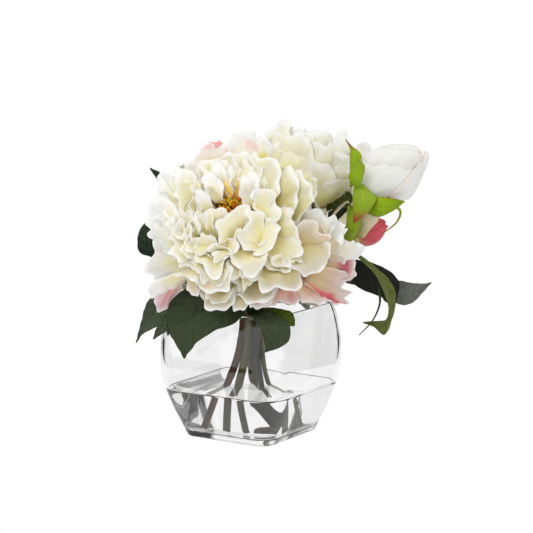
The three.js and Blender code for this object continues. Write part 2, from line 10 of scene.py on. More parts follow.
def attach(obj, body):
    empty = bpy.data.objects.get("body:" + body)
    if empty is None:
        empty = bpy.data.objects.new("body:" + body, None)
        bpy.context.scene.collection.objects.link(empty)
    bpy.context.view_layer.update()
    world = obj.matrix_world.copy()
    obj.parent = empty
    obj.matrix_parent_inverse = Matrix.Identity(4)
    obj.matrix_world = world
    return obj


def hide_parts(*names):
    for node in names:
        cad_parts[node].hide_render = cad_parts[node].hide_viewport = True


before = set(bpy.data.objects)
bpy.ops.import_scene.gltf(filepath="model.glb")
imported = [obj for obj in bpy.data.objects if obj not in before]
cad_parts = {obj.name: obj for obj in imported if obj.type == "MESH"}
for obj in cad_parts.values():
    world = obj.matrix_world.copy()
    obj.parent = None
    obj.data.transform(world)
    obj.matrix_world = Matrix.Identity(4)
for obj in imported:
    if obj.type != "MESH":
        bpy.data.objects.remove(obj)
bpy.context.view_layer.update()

# ------------------------------------------------------------------ frames (mm until the last step)
D2R = math.pi / 180
TURN, TIP = 32.62 * D2R, 8.86 * D2R
CT, ST, CP, SP = math.cos(TURN), math.sin(TURN), math.cos(TIP), math.sin(TIP)
RIGHT = np.array([CT, ST, 0.0])
UP = np.array([-ST * SP, CT * SP, CP])
TOWARD = np.array([ST * CP, -CT * CP, SP])
LEVEL_FRONT = np.array([ST, -CT, 0.0])
rng = np.random.default_rng(20)


def lean(p):
    p = np.asarray(p, float)
    return p[..., 0:1] * RIGHT + p[..., 1:2] * UP + p[..., 2:3] * TOWARD


def level(p):
    p = np.asarray(p, float)
    return p[..., 0:1] * RIGHT + p[..., 1:2] * LEVEL_FRONT + p[..., 2:3] * np.array([0, 0, 1.0])


def unit(v):
    v = np.asarray(v, float)
    return v / np.maximum(np.linalg.norm(v, axis=-1, keepdims=True), 1e-9)


def smooth(x):
    x = np.clip(x, 0, 1)
    return x * x * (3 - 2 * x)


def srgb(r, g, b):
    c = np.array([r, g, b], float) / 255
    return np.where(c <= 0.04045, c / 12.92, ((c + 0.055) / 1.055) ** 2.4)


def mixc(a, b, k):
    k = np.asarray(k, float)[..., None]
    return a * (1 - k) + b * k


class Frame:
    """A flower's own polar frame."""

    def __init__(self, o, a, tall=1.0, flat=False, turn=None):
        self.O = lean(o)
        self.A = unit(lean(a))
        ref = RIGHT if turn is None else turn
        self.U = unit(ref - self.A * (ref @ self.A))
        self.V = np.cross(self.A, self.U)
        self.tall = tall
        self.flat = flat

    def dir(self, th, ph):
        th, ph = np.asarray(th, float) * D2R, np.asarray(ph, float) * D2R
        s, c = np.sin(th)[..., None], np.cos(th)[..., None]
        return c * self.A + s * np.cos(ph)[..., None] * self.U + s * np.sin(ph)[..., None] * self.V

    def angles(self, d):
        c = np.clip(d @ self.A, -1, 1)
        return np.arccos(c) / D2R, np.arctan2(d @ self.V, d @ self.U) / D2R

    def drawn(self, d):
        k = np.maximum(d @ self.A, 0)[..., None]
        return d + (self.tall - 1) * k * self.A


FRONT = Frame([-3.9, 159.8, 49.0], [-0.14, 0.45, 0.88], flat=True)
BACK = Frame([37.3, 202.6, -42.1], [0.08, 0.93, -0.35], tall=1.14)


def catmull(points, ts):
    """Centripetal Catmull-Rom curve through points, at ts in 0..1, and its tangents."""
    p = [np.asarray(q, float) for q in points]
    p = [2 * p[0] - p[1]] + p + [2 * p[-1] - p[-2]]
    n = len(points) - 1

    def at(t):
        x = min(max(t, 0), 1) * n
        i = min(int(x), n - 1)
        w = x - i
        p0, p1, p2, p3 = p[i], p[i + 1], p[i + 2], p[i + 3]
        d0, d1, d2 = (max(np.linalg.norm(b - a), 1e-4) ** 0.5 for a, b in ((p0, p1), (p1, p2), (p2, p3)))
        t1 = ((p1 - p0) / d0 - (p2 - p0) / (d0 + d1) + (p2 - p1) / d1) * d1
        t2 = ((p2 - p1) / d1 - (p3 - p1) / (d1 + d2) + (p3 - p2) / d2) * d1
        c2 = -3 * p1 + 3 * p2 - 2 * t1 - t2
        c3 = 2 * p1 - 2 * p2 + t1 + t2
        return p1 + t1 * w + c2 * w * w + c3 * w ** 3, t1 + 2 * c2 * w + 3 * c3 * w * w

    got = [at(t) for t in ts]
    return np.array([g[0] for g in got]), unit(np.array([g[1] for g in got]))


# ------------------------------------------------------------------ meshes
class Skin:
    """Gathers closed shells into one mesh, with a paint colour and a place on the piece at every point."""

    def __init__(self):
        self.v, self.f, self.c, self.p, self.n = [], [], [], [], 0

    def add(self, verts, faces, paint, put):
        self.v.append(verts.reshape(-1, 3))
        self.c.append(np.broadcast_to(paint, verts.shape).reshape(-1, 3))
        self.p.append(np.broadcast_to(put, verts.shape).reshape(-1, 3))
        self.f.append(np.asarray(faces) + self.n)
        self.n += verts.reshape(-1, 3).shape[0]

    def shell(self, P, thick, paint, put, under=None):
        """A thin closed sheet round the grid P (rows along, columns across)."""
        m, n = P.shape[:2]
        du = np.gradient(P, axis=1)
        dt = np.gradient(P, axis=0)
        nn = np.cross(du, dt)
        bad = np.linalg.norm(nn, axis=-1) < 1e-7
        if bad.any():
            nn[bad] = np.mean(nn[~bad], axis=0)
        nn = unit(nn)
        th = np.broadcast_to(np.asarray(thick, float), (m, n))[..., None]
        top, bot = P + nn * th / 2, P - nn * th / 2
        idx = np.arange(m * n).reshape(m, n)
        a, b, c, d = idx[:-1, :-1], idx[:-1, 1:], idx[1:, 1:], idx[1:, :-1]
        up = np.stack([a, b, c, d], -1).reshape(-1, 4)
        dn = np.stack([a, d, c, b], -1).reshape(-1, 4) + m * n
        ring = np.concatenate([idx[0, :-1], idx[:-1, -1], idx[-1, :0:-1], idx[:0:-1, 0]])
        nxt = np.roll(ring, -1)
        side = np.stack([ring, ring + m * n, nxt + m * n, nxt], -1)
        self.add(
            np.concatenate([top.reshape(-1, 3), bot.reshape(-1, 3)]),
            np.concatenate([up, dn, side]),
            np.concatenate([
                np.broadcast_to(paint, P.shape).reshape(-1, 3),
                np.broadcast_to(paint if under is None else under, P.shape).reshape(-1, 3),
            ]),
            np.concatenate([np.broadcast_to(put, P.shape).reshape(-1, 3)] * 2),
        )

    def loft(self, rings, paint, put, cap0=True, cap1=True):
        """A closed skin over rings of points (rows along, columns round), with fans over its ends."""
        m, n = rings.shape[:2]
        idx = np.arange(m * n).reshape(m, n)
        a, b = idx[:-1], np.roll(idx, -1, axis=1)[:-1]
        c, d = np.roll(idx, -1, axis=1)[1:], idx[1:]
        faces = np.stack([a, b, c, d], -1).reshape(-1, 4)
        verts = [rings.reshape(-1, 3)]
        paints = [np.broadcast_to(paint, rings.shape).reshape(-1, 3)]
        puts = [np.broadcast_to(put, rings.shape).reshape(-1, 3)]
        extra, k = [], m * n
        for on, row, flip in ((cap0, 0, True), (cap1, m - 1, False)):
            if not on:
                continue
            verts.append(rings[row].mean(axis=0)[None])
            paints.append(np.broadcast_to(paint, rings.shape)[row].mean(axis=0)[None])
            puts.append(np.broadcast_to(put, rings.shape)[row].mean(axis=0)[None])
            r0, r1 = idx[row], np.roll(idx[row], -1)
            cc = np.full(n, k)
            tri = np.stack([r1, r0, cc, cc] if flip else [r0, r1, cc, cc], -1)
            extra.append(tri)
            k += 1
        self.add(np.concatenate(verts), np.concatenate([faces] + extra) if extra else faces,
                 np.concatenate(paints), np.concatenate(puts))

    def build(self, name, material, slot, nodes, smooth_shade=True):
        v = np.concatenate(self.v) * 0.001
        f = np.concatenate(self.f)
        tri = f[:, 2] == f[:, 3]
        polys = [tuple(q) for q in f[~tri]] + [tuple(q[:3]) for q in f[tri]]
        me = bpy.data.meshes.new(name)
        me.from_pydata([tuple(x) for x in v], [], [tuple(int(i) for i in q) for q in polys])
        at = me.attributes.new("paint", "FLOAT_COLOR", "POINT")
        c = np.concatenate(self.c)
        at.data.foreach_set("color", np.concatenate([c, np.ones((len(c), 1))], 1).astype(np.float32).ravel())
        at = me.attributes.new("put", "FLOAT_VECTOR", "POINT")
        at.data.foreach_set("vector", np.concatenate(self.p).astype(np.float32).ravel())
        me.polygons.foreach_set("use_smooth", [smooth_shade] * len(me.polygons))
        me.validate()
        me.update()
        ob = bpy.data.objects.new(name, me)
        bpy.context.scene.collection.objects.link(ob)
        me.materials.append(material)
        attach(ob, "root")
        if nodes:
            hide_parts(*nodes)
        return ob


# ------------------------------------------------------------------ materials
def new_material(name):
    m = bpy.data.materials.new(name)
    m.use_nodes = True
    nt = m.node_tree
    bsdf = next(n for n in nt.nodes if n.type == "BSDF_PRINCIPLED")
    return m, nt, bsdf


def node(nt, kind, **values):
    n = nt.nodes.new(kind)
    for k, v in values.items():
        if hasattr(n, k):
            setattr(n, k, v)
        else:
            n.inputs[k].default_value = v
    return n


def scaled_put(nt, scale):
    at = node(nt, "ShaderNodeAttribute", attribute_name="put")
    mp = node(nt, "ShaderNodeMapping")
    mp.inputs["Scale"].default_value = scale
    nt.links.new(at.outputs["Vector"], mp.inputs["Vector"])
    return mp.outputs["Vector"]


def tissue(name, rough=0.55, spec=0.3, sss=0.35, radius=(1.0, 0.98, 0.92), scale=0.002,
           streak=(1.1, 0.07, 1.0), depth=0.05, bump=0.25, fleck=0.0):
    """Plant tissue: painted colour, fine lengthwise streaks, slight relief."""
    m, nt, b = new_material(name)
    paint = node(nt, "ShaderNodeAttribute", attribute_name="paint")
    ns = node(nt, "ShaderNodeTexNoise")
    ns.inputs["Scale"].default_value = 1.0
    ns.inputs["Detail"].default_value = 3.0
    nt.links.new(scaled_put(nt, streak), ns.inputs["Vector"])
    rg = node(nt, "ShaderNodeMapRange")
    rg.inputs["From Min"].default_value = 0.3
    rg.inputs["From Max"].default_value = 0.7
    rg.inputs["To Min"].default_value = 1 - depth
    rg.inputs["To Max"].default_value = 1 + depth * 0.6
    nt.links.new(ns.outputs["Fac"], rg.inputs["Value"])
    mul = node(nt, "ShaderNodeVectorMath", operation="SCALE")
    nt.links.new(paint.outputs["Color"], mul.inputs[0])
    nt.links.new(rg.outputs["Result"], mul.inputs["Scale"])
    nt.links.new(mul.outputs["Vector"], b.inputs["Base Color"])
    bp = node(nt, "ShaderNodeBump")
    bp.inputs["Strength"].default_value = bump
    bp.inputs["Distance"].default_value = 0.0006
    nt.links.new(ns.outputs["Fac"], bp.inputs["Height"])
    nt.links.new(bp.outputs["Normal"], b.inputs["Normal"])
    b.inputs["Roughness"].default_value = rough
    b.inputs["Specular IOR Level"].default_value = spec
    b.inputs["Subsurface Weight"].default_value = sss
    b.inputs["Subsurface Radius"].default_value = radius
    b.inputs["Subsurface Scale"].default_value = scale
    return m


def clear(name, ior, rough=0.0, tint=(1, 1, 1)):
    m, nt, b = new_material(name)
    b.inputs["Base Color"].default_value = (*tint, 1)
    b.inputs["Transmission Weight"].default_value = 1.0
    b.inputs["IOR"].default_value = ior
    b.inputs["Roughness"].default_value = rough
    return m


PETAL = tissue("petal_tissue", spec=0.2)
BUD = tissue("bud_tissue", rough=0.5, sss=0.2, bump=0.15, depth=0.03)
LEAF = tissue("leaf_tissue", rough=0.5, spec=0.14, sss=0.0, streak=(0.5, 0.25, 1.0), depth=0.22, bump=0.25)
SEPAL = tissue("sepal_tissue", rough=0.5, spec=0.15, sss=0.12, depth=0.08)
STEM = tissue("stem_tissue", rough=0.5, spec=0.35, sss=0.0, streak=(0.6, 0.05, 1.0), depth=0.25, bump=0.4)
STAMEN = tissue("stamen_tissue", rough=0.6, spec=0.2, sss=0.35, streak=(2.0, 0.6, 1.0), depth=0.2, bump=0.4)

# ------------------------------------------------------------------ petals
DEEP = srgb(206, 196, 104)
OLIVE = srgb(150, 150, 40)
GOLD = srgb(244, 204, 84)
CREAM = srgb(240, 236, 212)
WHITE = srgb(250, 250, 247)
ROSE = srgb(200, 80, 104)
PEACH = srgb(238, 208, 186)
CORAL = srgb(240, 130, 110)

# deep places of the front bloom: middle (lean mm), reach (mm), how far the inner petals sink there, colour, strength;
# the colour is painted warm shade in these recesses, laid over the inner petals' own yellow
HOLLOWS = [
    ([-2.5, 147.0, 94.0], 6.0, 5.0, srgb(150, 150, 40), 0.9),
    ([-33.0, 158.0, 84.0], 8.0, 5.0, srgb(196, 188, 70), 0.7),
    ([-20.0, 190.0, 74.0], 7.0, 2.0, GOLD, 0.6),
    ([7.0, 168.5, 88.0], 5.5, 3.0, GOLD, 0.8),
    ([9.5, 214.0, 60.0], 6.0, 2.0, srgb(236, 214, 60), 0.7),
    ([-24.0, 168.0, 84.0], 7.5, 3.0, GOLD, 0.7),
    ([20.0, 142.0, 92.0], 5.0, 3.0, srgb(214, 196, 90), 0.5),
]
EYE = FRONT.O + 1500 * unit(lean([0, 0, 1]))


# painted shade: petals near each deep place take on its warm, darker colour
def paint_hollow_shade(P, paint, weight=1.0):
    for at, reach, _, colour, amount in HOLLOWS:
        k = smooth(1.25 - np.linalg.norm(P - lean(at), axis=-1) / reach)
        paint = mixc(paint, colour, np.clip(k * amount * weight, 0, 1))
    return paint


def petal_paint(u, t, tone=0.5, pink=0.0, blush=0.0, grey=0.0, seed=0.0, spots=(), body=None, lip=0.13):
    u, t = np.broadcast_arrays(u, t)
    if body is None:
        k = tone ** 0.7
        body = tuple(a + (b - a) * k for a, b in zip((218, 206, 134), (240, 234, 206)))
    main = srgb(*body)
    main = mixc(main, WHITE, 0.20)
    low = main * np.array([0.95, 0.89, 0.56])
    c = mixc(low, main, smooth((t - 0.1) / 0.65))
    c = mixc(c, WHITE, 0.22 * smooth((t - 0.5) / 0.5))
    if blush:
        c = mixc(c, PEACH, blush * 0.7 * smooth(1.25 - t) * (0.75 + 0.25 * np.sin(4 * u + seed)))
    if pink:
        stripe = 0.5 + 0.5 * np.sin(8 * u + seed) * np.sin(3 * u + 2 * seed)
        c = mixc(c, ROSE, np.clip(pink * (0.15 + 0.95 * stripe) * smooth(1.45 - t * 1.15), 0, 1) * 0.85)
    # grey: painted shade, a greyer and darker petal where it lies in shade
    if grey:
        c = c * (1 - grey * np.array([0.10, 0.085, 0.10]))
    for su, st_, ru, rt, colour, amount in spots:
        k = smooth(1.2 - np.sqrt(((u - su) / ru) ** 2 + ((t - st_) / rt) ** 2))
        c = mixc(c, srgb(*colour), k * amount)
    # white along the rims: the petals' paler margin, brightened further by a painted highlight where the rims catch
    # light
    edge = np.minimum(1 - t, (1 - np.abs(u)) * 0.5 + 0.03)
    c = mixc(c, WHITE, 0.92 * np.exp(-(edge / lip) ** 2.2) * (1 - 0.5 * min(pink, 1)))
    return c


def ruffle(u, t, ph):
    return (0.75 * np.sin(u * ph[0] + ph[1]) + 0.42 * np.sin(u * ph[2] * 0.8 + ph[3]) + 0.08 * np.sin(u * ph[4] + ph[5] + 3 * t))


def slerp(a, b, s):
    """Between unit directions a and b (..., 3) by s (...)."""
    c = np.clip(np.sum(a * b, -1), -1, 1)
    w = np.arccos(c)
    sw = np.maximum(np.sin(w), 1e-6)
    k0, k1 = np.sin((1 - s) * w) / sw, np.sin(s * w) / sw
    return k0[..., None] * a + k1[..., None] * b


PETAL_COUNT = [0]
CRUMPLE = []
for wave, size in ((28.0, 1.4), (14.0, 1.0), (8.0, 0.4)):
    for _ in range(5):
        CRUMPLE.append((unit(rng.normal(0, 1, 3)) * (2 * math.pi / (wave * rng.uniform(0.8, 1.25))), unit(rng.normal(0, 1, 3)) * size * 0.6, rng.uniform(0, 6.28)))


def crumple(P, f):
    """A wavy shift of places (mm), the same for petals that lie close together."""
    out = np.zeros(P.shape)
    for k, v, ph in CRUMPLE:
        out += np.sin(P @ k + ph)[..., None] * v
    return out


def rim_curve(points):
    """Samples of a smooth rim through the points: u in -1..1 and the places."""
    t = np.linspace(0, 1, 161)
    return t * 2 - 1, catmull(points, t)[0]


def petal(skin, f, B, rim, wb=8.0, amp=1.0, roll=0.9, tone=0.5, pink=0.0, blush=0.0, grey=0.0, guard=False,
          nar=0, nu=32, nt=18, thick=0.45, belly=1.6, cup=0.0, fan=0.35, spots=(), sink=False, point=0.0, hollow_shade=1.0, body=None, lip=0.13):
    """One petal from its base B to its rim, a list of points from one end to the other (row frame, mm)."""
    PETAL_COUNT[0] += 1
    if nar:
        nu, nt = 12, 15
    ph = [rng.uniform(2.6, 4.4), rng.uniform(0, 6.28), rng.uniform(6.5, 9.5), rng.uniform(0, 6.28), rng.uniform(13, 18), rng.uniform(0, 6.28)]
    seed = rng.uniform(0, 6.28)
    u = np.linspace(-1, 1, nu + 1)[None, :]
    t = (1 - (1 - np.linspace(0, 1, nt + 1)) ** 1.35)[:, None]
    uu = u * (1 + fan * np.sin(np.pi * np.clip(t, 0, 1)))
    uu = uu * np.where(t > 0.8, 1 - 0.10 * ((t - 0.8) / 0.2) ** 2, 1.0)
    ue = uu[..., None]
    us, qs = rim_curve([q - f.O for q in rim])
    L, R, mq = qs[0] + f.O, qs[-1] + f.O, qs[80]
    uc = np.clip(uu, -1, 1)
    Q = np.stack([np.interp(uc, us, qs[:, i]) for i in range(3)], -1)
    m0, m1 = unit(qs[0] - qs[20]), unit(qs[-1] - qs[-21])
    half_rim = 0.5 * np.linalg.norm(np.diff(qs, axis=0), axis=-1).sum()
    Q = Q + np.maximum(-1 - uu, 0)[..., None] * m0 * half_rim + np.maximum(uu - 1, 0)[..., None] * m1 * half_rim
    rQ = np.linalg.norm(Q, axis=-1)
    dQ = Q / rQ[..., None]
    E = unit(R - L)
    bq = B - f.O
    Bq = bq + E * (u * wb)[..., None] + 0 * ue
    rB = np.linalg.norm(Bq, axis=-1)
    dB = Bq / rB[..., None]
    ragged = 0.030 * (1 + np.sin(u * ph[2] * 1.0 + seed)) + 0.075 * np.abs(np.sin(u * ph[0] * 0.85 + ph[1])) ** 3 + 0.02 * np.abs(np.sin(u * ph[2] * 0.6 + ph[3])) ** 3
    te = t * (1 - 0.10 * np.abs(u) ** 4 - (0.4 if nar else 1.0) * ragged * smooth((t - 0.55) / 0.45) - point * np.abs(u) ** 1.5)
    x = np.clip((te - 0.86) / 0.14, 0, 1)
    s = te - (0.045 * x ** 2 if roll else 0)
    if guard:
        mid = f.angles(unit(mq))[1]
        low = max(0.0, -math.sin(mid * D2R)) ** 0.7 if f.flat else 0.0
        k = (1 - low) * smooth(te / 0.85) + low * np.clip(te, 0, 1) ** 1.9
    else:
        k = np.clip(te, 0, 1) ** 0.9
    r = rB + (rQ - rB) * k
    if not guard:
        r = r + belly * np.sin(np.pi * np.clip(te, 0, 1)) * (1 - 0.6 * u ** 2)
    g = smooth((te - 0.3) / 0.7)
    r = r + amp * ruffle(u, te, ph) * g
    r = r + 0.6 * amp * np.sin(8 * te + seed) * u ** 2 * smooth(te / 0.5) * (te < 2)
    r = r + 0.95 * amp * np.sin(u * ph[2] * 0.95 + ph[1] + 1.5 * te) * smooth((te - 0.62) / 0.38) ** 1.5 * (0 if nar else 1)
    r = r + 0.22 * np.sin(u * 15 + ph[5]) * np.sin(np.pi * np.clip(te, 0, 1)) * (0 if nar else 1)
    r = r - cup * u ** 2 * smooth(te)
    r = r + roll * x ** 1.6 + roll * 0.5 * np.clip((np.abs(u) - 0.84) / 0.16, 0, 1) ** 1.5 * smooth(te / 0.6)
    d = slerp(dB, dQ, s)
    d = unit(d)
    P = f.O + d * r[..., None]
    if sink:
        for at, reach, depth, _, _ in HOLLOWS:
            kk = smooth(1.4 - np.linalg.norm(P - lean(at), axis=-1) / reach)
            P = P - d * (kk * depth)[..., None]
    P = P + crumple(P, f) * (smooth(te / 0.55) * (0.55 if guard else 1.0))[..., None]
    paint = petal_paint(u, t, tone, pink, blush, grey, seed, spots, body, lip)
    # painted recess shade, mixed in by nearness to the deep places
    if hollow_shade:
        paint = paint_hollow_shade(P, paint, hollow_shade)
    width = np.linalg.norm(R - L)
    put = np.stack([u * width / 2 + 0 * t, t * 45 + 0 * u, np.full((nt + 1, nu + 1), PETAL_COUNT[0] * 7.3)], -1)
    th = thick * (1.25 - 0.5 * smooth(t)) + 0 * u
    skin.shell(P, th, paint, put)


FRONT_WHORLS = [("front_whorl_1", 72, 68.0, 39.5, 9, 5), ("front_whorl_2", 56, 61.0, 37.5, 8, 20),
                ("front_whorl_3", 42, 54.5, 35.5, 7, 50), ("front_whorl_4", 27, 47.0, 33.5, 6, 15)]
BACK_WHORLS = [("back_whorl_1", 40, 46.5, 29.5, 7, 10), ("back_whorl_2", 24, 40.5, 27.5, 6, 30)]
FRONT_GUARDS = [("front_petal_a", -8, 63, 79.0, 22.0, 0.0), ("front_petal_b", -10, 100, 90.7, 18.0, 2.4),
                ("front_petal_c", -22, 114, 90.7, 14.2, -2.4), ("front_petal_d", -38, 112, 94.7, 15.4, 2.4),
                ("front_petal_e", -56, 90, 87.7, 19.0, -2.4), ("front_petal_f", -79, 76, 80.0, 23.0, 2.4),
                ("front_petal_g", -103, 79, 78.8, 18.5, -2.4), ("front_petal_h", -126, 71, 78.0, 18.5, 2.4),
                ("front_petal_i", -145, 104, 90.2, 15.8, -2.4), ("front_petal_j", -162, 85, 79.5, 20.0, 2.4),
                ("front_petal_k", 172, 76, 74.2, 16.4, -2.4), ("front_petal_l", 142, 70, 76.0, 20.3, 2.0),
                ("front_petal_m", 110, 74, 68.6, 20.1, 0.0), ("front_petal_n", 58, 86, 69.5, 20.7, 2.0)]
BACK_GUARDS = [("back_petal_a", -70, 92, 54.0, 19.0, 0.0), ("back_petal_b", 0, 88, 56.0, 20.0, 1.6),
               ("back_petal_c", 70, 84, 57.0, 21.0, -1.0), ("back_petal_d", 140, 84, 56.0, 21.0, 1.6)]
SKINS = {n[0]: Skin() for n in FRONT_WHORLS + BACK_WHORLS + FRONT_GUARDS + BACK_GUARDS}


def low_of(f, ph):
    return max(0.0, -math.sin(ph * D2R)) ** 0.7 if f.flat else 0.0


def ring(name, f, th_rim, r1, r0, count, turn, th_base=150.0, spread=1.25, shrink=0.0, amp=1.4, tone=(0.2, 0.5), roll=0.9,
         notch=12.0, wb=7.0, point=0.0, arc=None, th_jit=3.0, inset=0.0):
    """A ring of petals nested round the flower's axis; inset (mm) draws in those behind the petals drawn one by one."""
    full = (r1, r0)
    for i in range(count):
        ph = turn + 360 * (i + 0.5) / count
        if arc and not arc(ph):
            continue
        half = 180 / count * spread
        r1, r0 = (full[0] - inset, full[1] - inset * 0.6) if ph % 360 < 60 or ph % 360 > 188 else full
        th = th_rim + rng.uniform(-th_jit, th_jit)
        top = 1 - (0.075 * max(0, math.sin(ph * D2R)) if f.flat else 0)
        pts = []
        for dph, dth, dr in ((-half, notch, -0.6), (-half * 0.55, notch * 0.2, 0.9), (0, 0, -0.4), (half * 0.55, notch * 0.25, 1.0), (half, notch, 0.6)):
            d = f.dir(th + dth, ph + dph)
            k = 1 - shrink * smooth((d @ TOWARD - 0.45) / 0.45)
            pts.append(f.O + f.drawn(d) * (r1 * top + dr) * k)
        low = low_of(f, ph)
        tb = (171 - th_base) / (171 - th_rim)
        kb = (1 - low) * float(smooth((171 - th_base) / 78)) + low * tb ** 1.9
        db = f.dir(th_base, ph)
        rb = r0 + (r1 * top - r0) * kb
        petal(SKINS[name], f, f.O + f.drawn(db) * rb * (1 - shrink * 0.5 * float(smooth((db @ TOWARD - 0.4) / 0.5))), pts,
              wb=wb, amp=amp, roll=roll, tone=rng.uniform(*tone), sink=shrink > 0, point=point, belly=2.2, nu=24, nt=18)
